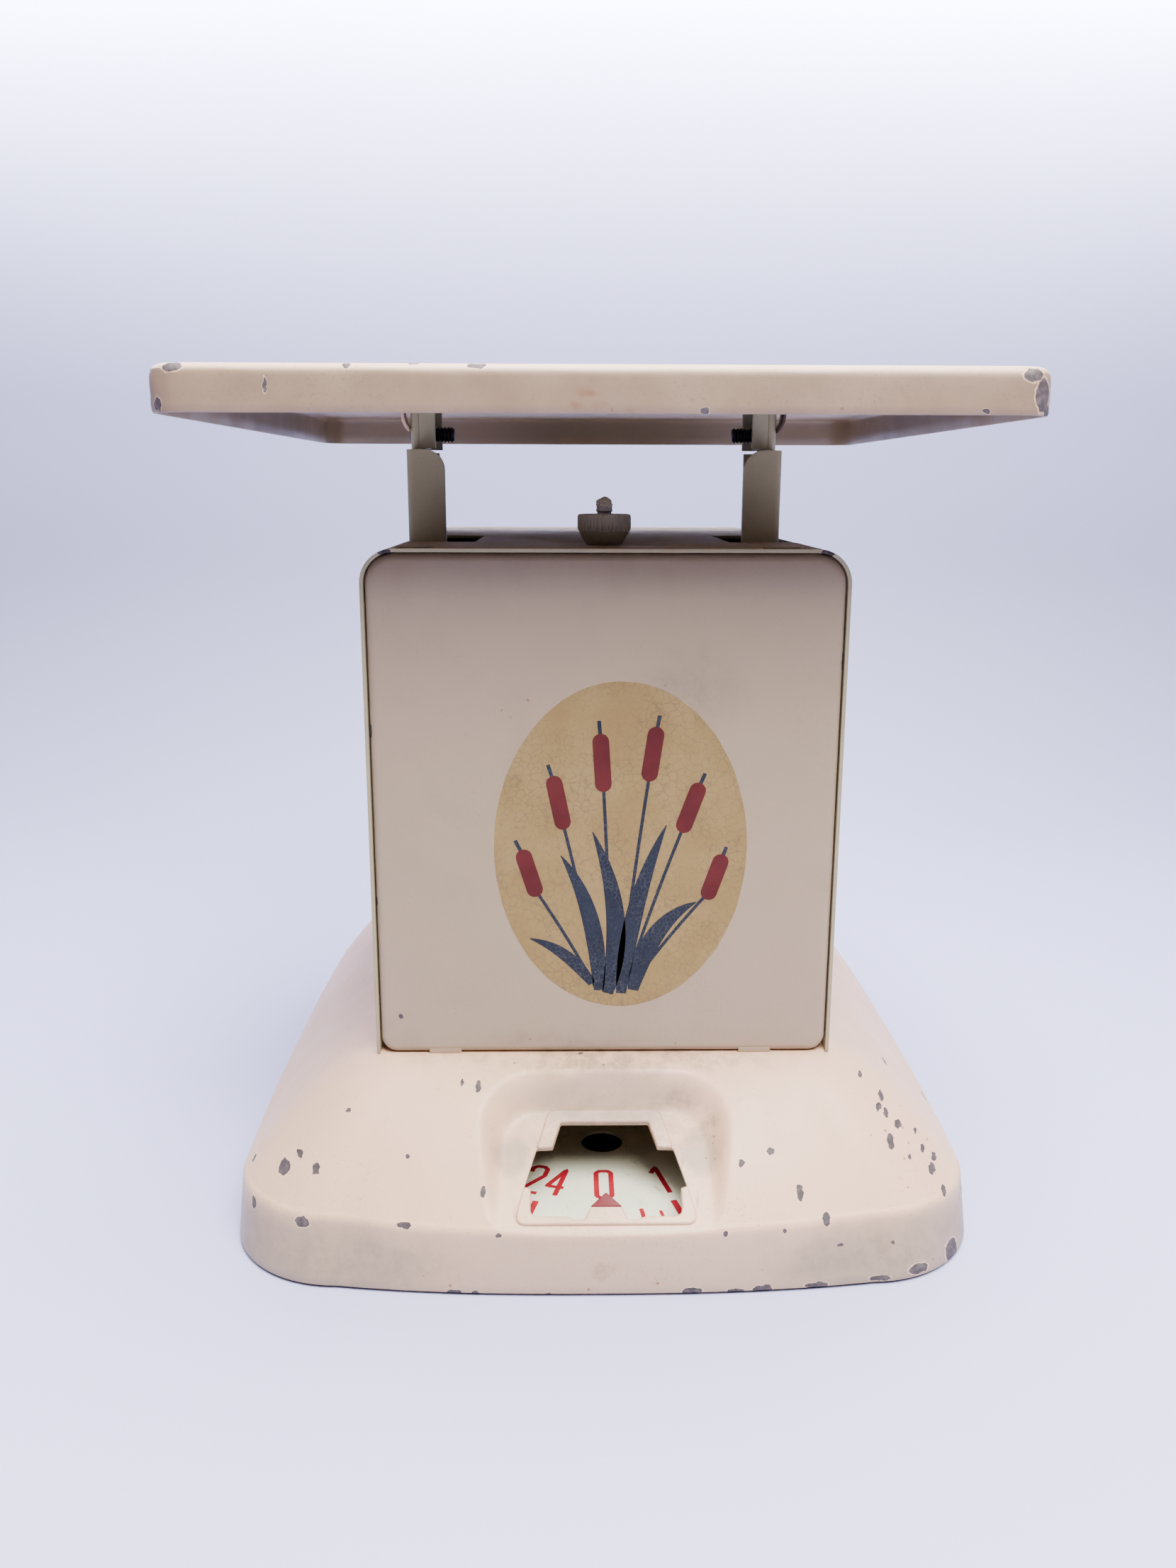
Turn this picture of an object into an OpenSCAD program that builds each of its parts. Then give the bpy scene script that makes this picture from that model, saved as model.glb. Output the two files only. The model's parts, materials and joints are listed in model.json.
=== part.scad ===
// Spring kitchen scale: pressed-steel base with a dial window, box tower, flat tray.
// The load on the tray pushes two posts down against a coil spring, and a bell crank,
// a rack and a pinion turn a flat dial under the window.
// Origin: centre of the whole footprint, on the table. +Z up, the window faces -Y.

/* [Base] */
// Width of the base at the table
base_w = 221; // [210:1:230]
// Depth of the base at the table
base_d = 253.6; // [240:0.2:270]
// Height of the upright skirt, up to the crease
skirt_h = 19; // [15:0.5:22]
// Height of the deck that the tower stands on
deck_z = 53; // [50:0.5:56]
// Plan radius of the base corners at the skirt
base_r = 34; // [20:1:45]
// Thickness of the pressed sheet
sheet = 1.2; // [1:0.1:1.6]
// Gap between the skirt's rim and the table
rim_z = 1; // [0.5:0.5:3]

/* [Window] */
// Slope of the window's floor, in degrees
window_tilt = 36; // [32:1:38]
// Height at which the window's floor meets the skirt
window_z = 18.2; // [17:0.2:19]
// Width of the recess around the window
well_w = 64; // [60:1:72]

/* [Tower] */
// Width of the tower
tower_w = 134; // [130:1:140]
// Depth of the tower
tower_d = 184; // [176:1:188]
// Distance of the tower's face from the base's front edge
tower_setback = 41.6; // [38:0.2:44]
// Height of the tower's top above the table
tower_top = 200; // [196:1:204]
// Thickness of the tower's sheet
wrap_t = 1; // [0.8:0.1:1.2]
// Radius of the tower's upper edges
tower_r = 9.5; // [7:0.5:12]

/* [Tray] */
// Width of the tray
tray_w = 210; // [200:1:220]
// Depth of the tray
tray_d = 225; // [215:1:235]
// Height of the tray's turned-down rim
rim_h = 11; // [9:0.5:13]
// Height of the tray's top face above the table
tray_top = 243.6; // [242:0.2:246]
// How far the tray stands out past the base's front edge
tray_overhang = 4.4; // [2:0.2:10]
// Sideways place of the tray and its posts, from the middle of the tower
carriage_x = -2.4; // [-3:0.2:3]

/* [Weighing] */
// Travel of the tray at full load
travel = 14.4; // [12:0.2:14.4]
// Share of a turn that the dial makes at full load
dial_share = 0.96; // [0.9:0.01:0.96]
// Distance between the outer faces of the two posts
post_span = 112.5; // [110:0.5:114]
// Depth of each post, front to back
post_d = 47; // [40:1:50]
// Width of each post's front flange
post_flange = 11.5; // [9:0.5:12]

/* [Dial] */
// Radius of the dial
dial_r = 87.5; // [84:0.5:90]
// Height of the dial's upper face
dial_z = 16.5; // [16:0.1:17]
// Distance of the dial's axis from the base's front edge
dial_setback = 98.1; // [96:0.1:103]

/* [Zero adjuster] */
// Distance of the knob's axis from the base's front edge
knob_setback = 65.6; // [62:0.2:68]
// Radius of the knob's knurled band
knob_r = 7.7; // [7:0.1:9]
// Radius of the threaded rod
rod_r = 2.4; // [2:0.1:2.5]

/* [Hidden] */

// Fine enough that round parts stay round
$fn = 64;
// Overshoot of a cut past the face that it opens
cut = 1;
// Running clearance between a shaft and its bore
run = 0.05;
// Thickness of the slices that a form is hulled from
thin = 0.02;

// Places along Y, worked out from the footprint's centre
tray_front = -(tray_overhang + base_d) / 2;
base_front = tray_front + tray_overhang;
base_back = base_front + base_d;
weigh_y = tray_front + tray_d / 2;
tower_front = base_front + tower_setback;
tower_back = tower_front + tower_d;
dial_y = base_front + dial_setback;
knob_y = base_front + knob_setback;

// Dome of the base: share of the way in to the tower's foot, height, and how far
// the ends of the front edge curve back
dome = [[0, rim_z, 4.4], [0.03, skirt_h, 8], [0.42, 37.5, 4.5], [0.78, 49.5, 1.5],
        [1, deck_z, 0]];
side_bow = 1.8;
bow_power = 2.5;
edge_steps = 4;
corner_steps = 8;
ledge = 2;
dome_side = (base_w - tower_w) / 2 - ledge;
dome_front = tower_setback - ledge;
dome_back = base_back - tower_back - ledge;
deck_r = 11;
deck_land = 14;
deck_rim = 10;
deck_cut = 6;

// Right half of the window: half width and distance up the slope, from the pointer's
// tip, round its foot and the lower corner, to the upper corner
window_side = [[0, 11.3], [4.5, 7.6], [5.9, 4.4], [8.4, 4.2], [10.8, 5.2], [20.9, 5.2],
               [20.9, 13.1], [22.9, 13.5], [19.5, 24.9], [14.9, 25.1], [12.6, 32.7]];
frame_outer = [[25.5, 2.9], [16.2, 36.7]];
frame_raise = 0.8;
well_back = 31.5;
well_front = -4;
window_inset = 1;
well_room = 5;
window_cut = [-4, 3];

// Bottom plate, feet and dial bearings
plate_t = 1.2;
plate_z = 3;
plate_gap = 0.3;
plate_lip = 7;
foot_r = 7;
foot_x = 80;
foot_stem_r = 3;
foot_barb = 0.8;
foot_y = [base_front + 34.6, base_back - 31];
dial_t = 0.8;
shaft_r = 2;
spigot_r = 1.5;
hub_r = 4;
dial_hole_r = 6.5;
dial_hole_at = 43.5;
dial_holes = 6;

// Plate that bridges the opening in the deck and carries the works
bridge_t = 1.5;
bridge_top = deck_z - sheet;
bridge_x = 64;
bridge_y = [-40, 80];
tower_screw_x = 61;
tower_screw_y = [-30, 65];
tower_screw_r = 2;
tower_screw_head_r = 3.6;
tower_screw_head_t = 2.2;
tower_screw_tail = 5;
tower_nut_t = 3.2;
tower_flange_w = 11;
tower_flange_t = wrap_t + 0.2;
tower_flange_y = [-66, 84];
lightening_x = 34;
lightening_w = 24;
lightening_y = [-18, 52];

// Pans that close the tower's ends, and the screws that hold the rear one
panel_gap = 0.3;
panel_proud = 0.6;
panel_lift = 0.2;
front_pan_d = 9;
rear_pan_d = 12;
rear_screw_z = [85, 165];
rear_screw_y = tower_back - 6;
rear_screw_r = 1.6;

// Slots in the tower's top for the posts, as distances from its middle
slot_in = 38.5;
slot_out = 61.2;
slot_room = 1;
slot_cut = 6;
bush_r = 3.7;

// Tray: plan radius of its corners, and its upper edge as steps in and down
tray_r = 9;
tray_ease = [[0, 3], [1, 0.9], [3, 0]];

// Posts and tray fixings
post_t = 1.5;
post_x = post_span / 2;
post_web_x = post_x - post_t;
post_y0 = weigh_y - post_d / 2;
post_y1 = weigh_y + post_d / 2;
post_low = 72;
post_high = 227;
post_corner_r = 6;
tab_w = 22;
tab_top = 240.5;
tab_flange = 2.8;
rear_flange = 5.5;
tray_screw_z = 232;
tray_screw_r = 2.4;
screw_len = 12.8;
screw_head_t = 1.2;
screw_head_r = 3.4;
bracket_gap = 0.1;
bracket_t = 1.4;
bracket_w = 24;
bracket_leg = 4.8;
bracket_foot = 20;
bracket_rise = 0.6;

// Bell crank: horizontal arm to the posts, upright arm to the rack
gear_module = 0.7;
pinion_teeth = 14;
pitch_r = gear_module * pinion_teeth / 2;
rack_travel = dial_share * 2 * PI * pitch_r;
crank_in = 30;
crank_turn = travel / crank_in * 180 / PI;
crank_out = rack_travel / (travel / crank_in);
crank_y = 16;
crank_z = 105.5;
crank_x = -12;
crank_t = 2;
crank_half = 3.2;
crank_hub_r = 6;
pivot_r = 2;
pivot_collar_r = 3.6;
fork_slack = 0.22;
drive_pin_r = 1.5;
drive_y = crank_y - crank_in * (1 + cos(crank_turn / 2)) / 2;
drive_z = crank_z + travel / 2;

// Rack beside the pinion
addendum = 0.8 * gear_module;
dedendum = 1.05 * gear_module;
pressure = 20;
tooth_pitch = PI * gear_module;
backlash = 0.14;
rack_z = [40, 44];
rack_back_x = -9;
rack_slot_y = crank_y - rack_travel / 2;
rack_end_half = 6;
guide_gap = 0.2;
guide_t = 1.5;
guide_len = 22;
rack_end_y = rack_slot_y + rack_end_half;
rack_end_t = 2.4;
rack_end_h = 9.4;
rack_teeth = 17;
pinion_z = [38.6, 45.6];

// Check links that keep the posts upright
link_len = 57;
link_x = 39;
link_t = 2;
link_half = 5;
link_pin_r = 2.5;
link_slack = 0.12;
link_shaft_half = 48;
clip_t = 1.2;
clip_wide = 1.2;
link_turn = travel / link_len * 180 / PI;
link_shift = link_len * (1 - cos(link_turn / 2));
link_shaft_y = link_len;
link_low_z = 76.8;
link_high_z = 157.8;
link_post_y = link_shift / 2;

// Yoke and main spring
yoke_z = [121, 123];
yoke_y = [weigh_y - 7.5, weigh_y + 7.5];
arm_half = 12;
arm_drop = 6;
yoke_side_t = 1.5;
yoke_drop = 14;
yoke_rivet_z = yoke_z[0] - 7;
yoke_rivet_r = 2;
drive_tab = 5;
drive_tab_t = 1.6;
seat_z = 62;
spring_r = 10;
wire_r = 1.25;
spring_turns = 8.5;
spring_steps = 18;
spring_sides = 8;
spring_dead = 0.9;

// Zero knob and the rod's hammered end
knob_z = tower_top + 0.1;
knob_cone_h = 3.9;
knob_band_h = 4.7;
knurls = 44;
knurl_t = 0.3;
end_r = 3.1;
end_tip_r = 1.6;
end_z = [tower_top + 10, tower_top + 12];

painted = "AntiqueWhite";
steel = "Silver";
brass = "Goldenrod";

// Plate with round corners, from [x, y] low to [x, y] high
module round_plate(low, high, r, h) {
    translate([low[0] + r, low[1], 0])
        cube([high[0] - low[0] - 2 * r, high[1] - low[1], h]);
    translate([low[0], low[1] + r, 0])
        cube([high[0] - low[0], high[1] - low[1] - 2 * r, h]);
    for (x = [low[0] + r, high[0] - r], y = [low[1] + r, high[1] - r])
        translate([x, y, 0])
            cylinder(r = r, h = h);
}

// Cylinder along X between two places
module rod_x(x0, x1, y, z, r) {
    translate([x0, y, z])
        rotate([0, 90, 0])
            cylinder(r = r, h = x1 - x0);
}

// Shape drawn in Y and Z, made solid between two places along X
module slab_x(x0, x1) {
    translate([x0, 0, 0])
        rotate([90, 0, 90])
            linear_extrude(x1 - x0)
                children();
}

// Flat bar with round ends, from the origin to a distance along +X
module bar(length, half) {
    translate([0, -half])
        square([length, 2 * half]);
    circle(r = half);
    translate([length, 0])
        circle(r = half);
}

// Plan of the base at one level of its dome, set in by a skin thickness: bowed edges
// between round corners
function base_outline(level, skin) =
    let (share = level[0],
         r = base_r + (deck_r - base_r) * share - skin,
         half = base_w / 2 - dome_side * share - skin,
         front = base_front + dome_front * share + skin,
         back = base_back - dome_back * share - skin,
         bow_x = side_bow * (1 - share),
         x = half - bow_x - r,
         y0 = front + level[2] + r,
         y1 = back - level[2] - r,
         along = [for (i = [1 - edge_steps:edge_steps - 1]) i / edge_steps],
         turn = [for (i = [0:corner_steps]) 90 * i / corner_steps])
    concat([for (t = along) [x * t, front + level[2] * pow(abs(t), bow_power)]],
           [for (a = turn) [x + r * sin(a), y0 - r * cos(a)]],
           [for (t = along) [half - bow_x * pow(abs(t), bow_power),
                             (y0 + y1) / 2 + (y1 - y0) / 2 * t]],
           [for (a = turn) [x + r * cos(a), y1 + r * sin(a)]],
           [for (t = along) [-x * t, back - level[2] * pow(abs(t), bow_power)]],
           [for (a = turn) [-x - r * sin(a), y1 + r * cos(a)]],
           [for (t = along) [bow_x * pow(abs(t), bow_power) - half,
                             (y0 + y1) / 2 - (y1 - y0) / 2 * t]],
           [for (a = turn) [-x - r * cos(a), y0 - r * sin(a)]]);

// Outer form of the base, set in by a skin thickness
module base_form(skin) {
    hull()
        for (level = dome)
            translate([0, 0, level[1] - skin - thin])
                linear_extrude(thin)
                    polygon(base_outline(level, skin));
}

// Side view of the recess over the window, grown by a skin thickness
module well_side(skin) {
    drop = skin / cos(window_tilt);
    rise = tan(window_tilt);
    polygon([[base_front + well_front, window_z + (well_front - window_inset) * rise - drop],
             [base_front + well_back + skin,
              window_z + (well_back - window_inset) * rise - drop],
             [base_front + well_back + skin, deck_z + well_room],
             [base_front + well_front, deck_z + well_room]]);
}

module well(skin) {
    slab_x(-well_w / 2 - skin, well_w / 2 + skin)
        well_side(skin);
}

// Puts a flat drawing on the window's sloping floor
module on_window() {
    translate([0, base_front + window_inset, window_z])
        rotate([window_tilt, 0, 0])
            children();
}

// Left half of an outline, from the right half's last point back to its second
function mirrored(side, first) =
    [for (i = [len(side) - 1:-1:first]) [-side[i][0], side[i][1]]];

module base_shell() color(painted) {
    difference() {
        union() {
            difference() {
                base_form(0);
                base_form(sheet);
                translate([-base_w, -base_d, rim_z - sheet - cut])
                    cube([2 * base_w, 2 * base_d, sheet + cut]);
                well(0);
            }
            difference() {
                intersection() {
                    base_form(0);
                    well(sheet);
                }
                well(0);
                translate([-base_w, -base_d, -cut])
                    cube([2 * base_w, 2 * base_d, rim_z + cut]);
            }
            on_window()
                translate([0, 0, -sheet / 2])
                    linear_extrude(frame_raise + sheet / 2)
                        polygon(concat(frame_outer, mirrored(frame_outer, 0)));
        }
        on_window()
            translate([0, 0, window_cut[0]])
                linear_extrude(window_cut[1] - window_cut[0])
                    polygon(concat(window_side, mirrored(window_side, 1)));
        translate([0, 0, deck_z - deck_cut])
            round_plate([-tower_w / 2 + deck_land, tower_front + deck_rim],
                        [tower_w / 2 - deck_land, tower_back - deck_rim], 4, 2 * deck_cut);
        for (x = [-tower_screw_x, tower_screw_x], y = tower_screw_y)
            translate([x, y, deck_z - 4])
                cylinder(r = tower_screw_r, h = 8);
    }
}

module bottom_plate() color("DimGray") {
    edge = sheet + plate_gap;
    difference() {
        translate([0, 0, plate_z])
            linear_extrude(plate_lip)
                polygon(base_outline(dome[1], edge));
        translate([0, 0, plate_z + plate_t])
            linear_extrude(plate_lip)
                polygon(base_outline(dome[1], edge + plate_t));
        for (x = [-foot_x, foot_x], y = foot_y)
            translate([x, y, plate_z - cut])
                cylinder(r = foot_stem_r, h = plate_t + 2 * cut);
    }
}

module rubber_feet() color("DimGray") {
    for (x = [-foot_x, foot_x], y = foot_y)
        translate([x, y, 0]) {
            cylinder(r = foot_r, h = plate_z);
            cylinder(r = foot_stem_r, h = plate_z + plate_t);
            translate([0, 0, plate_z + plate_t])
                cylinder(r = foot_stem_r + foot_barb, h = 2);
        }
}

// Arch section of the tower: straight sides, round upper edges
module tower_section(skin) {
    half = tower_w / 2 - skin;
    top = tower_top - skin;
    r = tower_r - skin;
    translate([-half, deck_z])
        square([2 * half, top - r - deck_z]);
    translate([-half + r, deck_z])
        square([2 * (half - r), top - deck_z]);
    for (s = [-1, 1])
        translate([s * (half - r), top - r])
            circle(r = r);
}

// Shape drawn in X and Z, made solid between two places along Y
module slab_y(y0, y1) {
    translate([0, y1, 0])
        rotate([90, 0, 0])
            linear_extrude(y1 - y0)
                children();
}

module tower_surround() color(painted) {
    difference() {
        union() {
            difference() {
                slab_y(tower_front, tower_back)
                    tower_section(0);
                slab_y(tower_front - cut, tower_back + cut)
                    tower_section(wrap_t);
                translate([-tower_w / 2 + wrap_t, tower_front - cut, deck_z - cut])
                    cube([tower_w - 2 * wrap_t, tower_d + 2 * cut, 2 * cut]);
            }
            for (s = [-1, 1])
                translate([s * (tower_w - tower_flange_w) / 2 - tower_flange_w / 2,
                           tower_flange_y[0], deck_z])
                    cube([tower_flange_w, tower_flange_y[1] - tower_flange_y[0],
                          tower_flange_t]);
        }
        for (s = [-1, 1])
            translate([s * (slot_in + slot_out) / 2 - (slot_out - slot_in) / 2,
                       post_y0 - slot_room, tower_top - slot_cut])
                cube([slot_out - slot_in, post_d + 2 * slot_room, 2 * slot_cut]);
        translate([0, knob_y, tower_top - 4])
            cylinder(r = bush_r, h = 8);
        for (x = [-tower_screw_x, tower_screw_x], y = tower_screw_y)
            translate([x, y, deck_z - cut])
                cylinder(r = tower_screw_r, h = 4);
        for (z = rear_screw_z)
            rod_x(-tower_w, tower_w, rear_screw_y, z, rear_screw_r);
    }
}

// Shallow pan that closes one end of the tower, open towards +Y
module end_pan(depth) {
    skin = wrap_t + panel_gap;
    difference() {
        slab_y(0, depth)
            tower_section(skin);
        slab_y(wrap_t, depth + cut)
            tower_section(skin + wrap_t);
        translate([-tower_w / 2 + skin + wrap_t, wrap_t, deck_z - cut])
            cube([tower_w - 2 * skin - 2 * wrap_t, depth, cut + panel_proud + wrap_t]);
    }
}

module front_panel() color(painted) {
    translate([0, tower_front - panel_proud, panel_lift])
        end_pan(front_pan_d);
}

module rear_panel() color(painted) {
    difference() {
        translate([0, tower_back + panel_proud, panel_lift])
            mirror([0, 1, 0])
                end_pan(rear_pan_d);
        for (z = rear_screw_z)
            rod_x(-tower_w, tower_w, rear_screw_y, z, rear_screw_r);
    }
}

module rear_panel_screws() color(steel) {
    for (flip = [0, 1], z = rear_screw_z)
        mirror([flip, 0, 0]) {
            rod_x(tower_w / 2 - 8, tower_w / 2, rear_screw_y, z, rear_screw_r);
            rod_x(tower_w / 2, tower_w / 2 + 1.8, rear_screw_y, z, 2 * rear_screw_r);
        }
}

module tower_screws() color(steel) {
    head_z = deck_z + tower_flange_t;
    tail_z = bridge_top - bridge_t - tower_screw_tail;
    for (x = [-tower_screw_x, tower_screw_x], y = tower_screw_y)
        translate([x, y, 0]) {
            translate([0, 0, tail_z])
                cylinder(r = tower_screw_r, h = head_z - tail_z);
            translate([0, 0, head_z])
                cylinder(r = tower_screw_head_r, h = tower_screw_head_t);
        }
}

module tower_nuts() color(steel) {
    for (x = [-tower_screw_x, tower_screw_x], y = tower_screw_y)
        translate([x, y, bridge_top - bridge_t - tower_nut_t])
            difference() {
                cylinder(r = 2 * tower_screw_r, h = tower_nut_t, $fn = 6);
                translate([0, 0, -cut])
                    cylinder(r = tower_screw_r, h = tower_nut_t + 2 * cut, $fn = 64);
            }
}

module bridge_plate() color(steel) {
    arm_sweep = rack_travel / 2 + crank_half + 2;
    difference() {
        translate([0, 0, bridge_top - bridge_t])
            round_plate([-bridge_x, bridge_y[0]], [bridge_x, bridge_y[1]], 5, bridge_t);
        translate([crank_x - 2.5, crank_y - arm_sweep, bridge_top - bridge_t - cut])
            cube([5, 2 * arm_sweep, bridge_t + 2 * cut]);
        translate([0, dial_y, bridge_top - bridge_t - cut])
            cylinder(r = 3, h = bridge_t + 2 * cut);
        for (x = [-tower_screw_x, tower_screw_x], y = tower_screw_y)
            translate([x, y, bridge_top - bridge_t - cut])
                cylinder(r = tower_screw_r, h = bridge_t + 2 * cut);
        for (s = [-1, 1])
            translate([s * lightening_x - lightening_w / 2, lightening_y[0],
                       bridge_top - bridge_t - cut])
                round_plate([0, 0], [lightening_w, lightening_y[1] - lightening_y[0]], 6,
                            bridge_t + 2 * cut);
    }
}

module link_bracket() color(steel) {
    cheek_x = 46;
    back_y = link_shaft_y + 7;
    top_z = link_high_z + 8;
    difference() {
        union() {
            translate([-cheek_x, back_y, bridge_top])
                cube([2 * cheek_x, post_t, top_z - bridge_top]);
            for (s = [-1, 1])
                translate([s * (cheek_x - post_t / 2) - post_t / 2, link_shaft_y - 7,
                           bridge_top])
                    cube([post_t, 14 + post_t, top_z - bridge_top]);
            translate([-cheek_x, back_y, bridge_top])
                cube([2 * cheek_x, 12, post_t]);
        }
        for (z = [link_low_z, link_high_z])
            rod_x(-cheek_x - cut, cheek_x + cut, link_shaft_y, z, link_pin_r);
        slab_y(back_y - cut, back_y + post_t + cut)
            translate([-30, link_low_z + 12])
                square([60, link_high_z - link_low_z - 24]);
    }
}

// Fixed shaft that a check link swings on, with a clip head at each end
module link_shaft(z) {
    rod_x(-link_shaft_half, link_shaft_half, link_shaft_y, z, link_pin_r);
    for (x = [-link_shaft_half - clip_t, link_shaft_half])
        rod_x(x, x + clip_t, link_shaft_y, z, link_pin_r + clip_wide);
}

module upper_link_shaft() color(steel) link_shaft(link_high_z);

module lower_link_shaft() color(steel) link_shaft(link_low_z);

// Check link at rest: raised at the posts' end by half of the travel
module check_link(z) {
    slot = link_shift / 2 + 0.25;
    translate([0, link_shaft_y, z])
        rotate([-link_turn / 2, 0, 0])
            difference() {
                union() {
                    for (s = [-1, 1])
                        slab_x(s * link_x - link_t / 2, s * link_x + link_t / 2)
                            mirror([1, 0])
                                bar(link_len, link_half);
                    translate([-link_x, -18, -1])
                        cube([2 * link_x, 9, 2]);
                }
                rod_x(-link_x - 2, link_x + 2, 0, 0, link_pin_r + run);
                for (dy = [-slot, slot])
                    rod_x(-link_x - 2, link_x + 2, dy - link_len + link_shift / 2, 0,
                          link_pin_r + link_slack);
                translate([-link_x - 2, -link_len + link_shift / 2 - slot,
                           -link_pin_r - link_slack])
                    cube([2 * link_x + 4, 2 * slot, 2 * (link_pin_r + link_slack)]);
            }
}

module upper_check_link() color(steel) check_link(link_high_z);

module lower_check_link() color(steel) check_link(link_low_z);

// Rod that ties the two posts together and carries the check link
module post_rod(z) {
    translate([carriage_x, 0, 0]) {
        rod_x(-post_x, post_x, link_post_y, z, link_pin_r);
        for (x = [-post_x - 1, post_x])
            rod_x(x, x + 1, link_post_y, z, link_pin_r + 1);
    }
}

module upper_post_rod() color(steel) post_rod(link_high_z + travel / 2);

module lower_post_rod() color(steel) post_rod(link_low_z + travel / 2);

module crank_bracket() color(steel) {
    x0 = crank_x - 5;
    difference() {
        union() {
            translate([x0, crank_y - crank_hub_r, bridge_top])
                cube([post_t, 2 * crank_hub_r, crank_z - bridge_top]);
            rod_x(x0, x0 + post_t, crank_y, crank_z, crank_hub_r);
            translate([x0 - 12, crank_y - 9, bridge_top])
                cube([12 + post_t, 18, post_t]);
        }
        rod_x(x0 - cut, x0 + post_t + cut, crank_y, crank_z, pivot_r);
    }
}

module crank_pivot() color(steel) {
    rod_x(crank_x - 6, crank_x + 2.6, crank_y, crank_z, pivot_r);
    rod_x(crank_x - 3.5, crank_x - 1.2, crank_y, crank_z, pivot_collar_r);
    rod_x(crank_x + 1.4, crank_x + 2.6, crank_y, crank_z, pivot_collar_r);
    rod_x(crank_x - 6.2, crank_x - 5, crank_y, crank_z, pivot_collar_r);
}

// Bell crank at rest: turned back by half of its swing
module bell_crank() color(steel) {
    translate([0, crank_y, crank_z])
        rotate([-crank_turn / 2, 0, 0])
            difference() {
                slab_x(crank_x - crank_t / 2, crank_x + crank_t / 2) {
                    circle(r = crank_hub_r);
                    mirror([1, 0])
                        bar(crank_in + 2, crank_half);
                    rotate(-90)
                        bar(crank_out, crank_half);
                }
                rod_x(crank_x - crank_t, crank_x + crank_t, 0, 0, pivot_r + run);
                translate([crank_x - crank_t, -crank_in - 8, -drive_pin_r - fork_slack])
                    cube([2 * crank_t, 11, 2 * (drive_pin_r + fork_slack)]);
                rod_x(crank_x - crank_t, crank_x + crank_t, 0, -crank_out, drive_pin_r);
            }
}

module crank_pin() color(steel) {
    translate([0, crank_y, crank_z])
        rotate([-crank_turn / 2, 0, 0]) {
            rod_x(crank_x - 1, crank_x + 6.6, 0, -crank_out, drive_pin_r);
            rod_x(crank_x - 1.8, crank_x - 1, 0, -crank_out, drive_pin_r + 1);
        }
}

// Rack teeth as points, going along +Y, with the tips towards +X
function rack_points(first, count) = [
    for (i = [0:count - 1], k = [0:3])
        let (side = k < 2 ? -1 : 1,
             tip = k == 1 || k == 2,
             reach = tip ? addendum : -dedendum,
             half = tooth_pitch / 4 - backlash / 2 - reach * tan(pressure))
        [-pitch_r + reach, first + i * tooth_pitch + side * half]
];

module rack() color(steel) {
    // A tooth of the rack stands beside the dial's axis, in a gap of the pinion
    first = dial_y - (rack_teeth - 2) * tooth_pitch;
    low = first - 2;
    slot_half = drive_pin_r + 0.35;
    slot_low = crank_z - crank_out - slot_half;
    slot_high = crank_z - crank_out * cos(crank_turn / 2) + slot_half;
    difference() {
        union() {
            translate([0, 0, rack_z[0]])
                linear_extrude(rack_z[1] - rack_z[0])
                    polygon(concat([[rack_back_x, low], [-pitch_r - dedendum, low]],
                                   rack_points(first, rack_teeth),
                                   [[-pitch_r - dedendum, rack_end_y],
                                    [rack_back_x, rack_end_y]]));
            translate([rack_back_x, rack_slot_y - rack_end_half, rack_z[0]])
                cube([rack_end_t, 2 * rack_end_half, rack_end_h]);
        }
        translate([rack_back_x - cut, rack_slot_y - slot_half, slot_low])
            cube([rack_end_t + 4, 2 * slot_half, slot_high - slot_low]);
    }
}

module rack_guide() color(steel) {
    x0 = rack_back_x - guide_gap - guide_t;
    y0 = dial_y - 10;
    low = rack_z[0] - guide_gap - guide_t;
    under = bridge_top - bridge_t;
    translate([x0, y0, low])
        cube([guide_t, guide_len, under - low]);
    translate([x0, y0, low])
        cube([4.7, guide_len - 4, guide_t]);
    translate([rack_back_x - 9, y0, under - guide_t])
        cube([8, guide_len, guide_t]);
}

// Point of an involute flank at a radius, on the side given by its sign
function flank(r, side) =
    let (base = pitch_r * cos(pressure),
         a = acos(min(1, base / r)),
         lift = tan(a) * 180 / PI - a,
         lift0 = tan(pressure) * 180 / PI - pressure,
         half = 90 / pinion_teeth - backlash / 2 / pitch_r * 90 / PI + lift0 - lift)
    [r, side * half];

function polar(p, turn) = [p[0] * cos(p[1] + turn), p[0] * sin(p[1] + turn)];

function pinion_points() =
    let (base = pitch_r * cos(pressure),
         tip = pitch_r + addendum,
         root = pitch_r - dedendum)
    [for (i = [0:pinion_teeth - 1])
        let (turn = (i + 0.5) * 360 / pinion_teeth + 180)
        for (p = [[root, flank(base, -1)[1]], flank(base, -1), flank((base + tip) / 2, -1),
                  flank(tip, -1), flank(tip, 1), flank((base + tip) / 2, 1),
                  flank(base, 1), [root, flank(base, 1)[1]]])
            polar(p, turn)];

module dial_pinion() color(brass) {
    translate([0, dial_y, pinion_z[0]])
        difference() {
            union() {
                linear_extrude(pinion_z[1] - pinion_z[0])
                    polygon(pinion_points());
                translate([0, 0, -3])
                    cylinder(r = hub_r, h = 3);
            }
            translate([0, 0, -4])
                cylinder(r = shaft_r, h = 14);
        }
}

module dial_disc() color("Beige") {
    translate([0, dial_y, dial_z - dial_t])
        difference() {
            cylinder(r = dial_r, h = dial_t, $fn = 128);
            translate([0, 0, -cut])
                cylinder(r = hub_r, h = dial_t + 2 * cut);
            for (i = [0:dial_holes - 1])
                rotate(i * 360 / dial_holes - 90)
                    translate([dial_hole_at, 0, -cut])
                        cylinder(r = dial_hole_r, h = dial_t + 2 * cut);
        }
}

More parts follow.
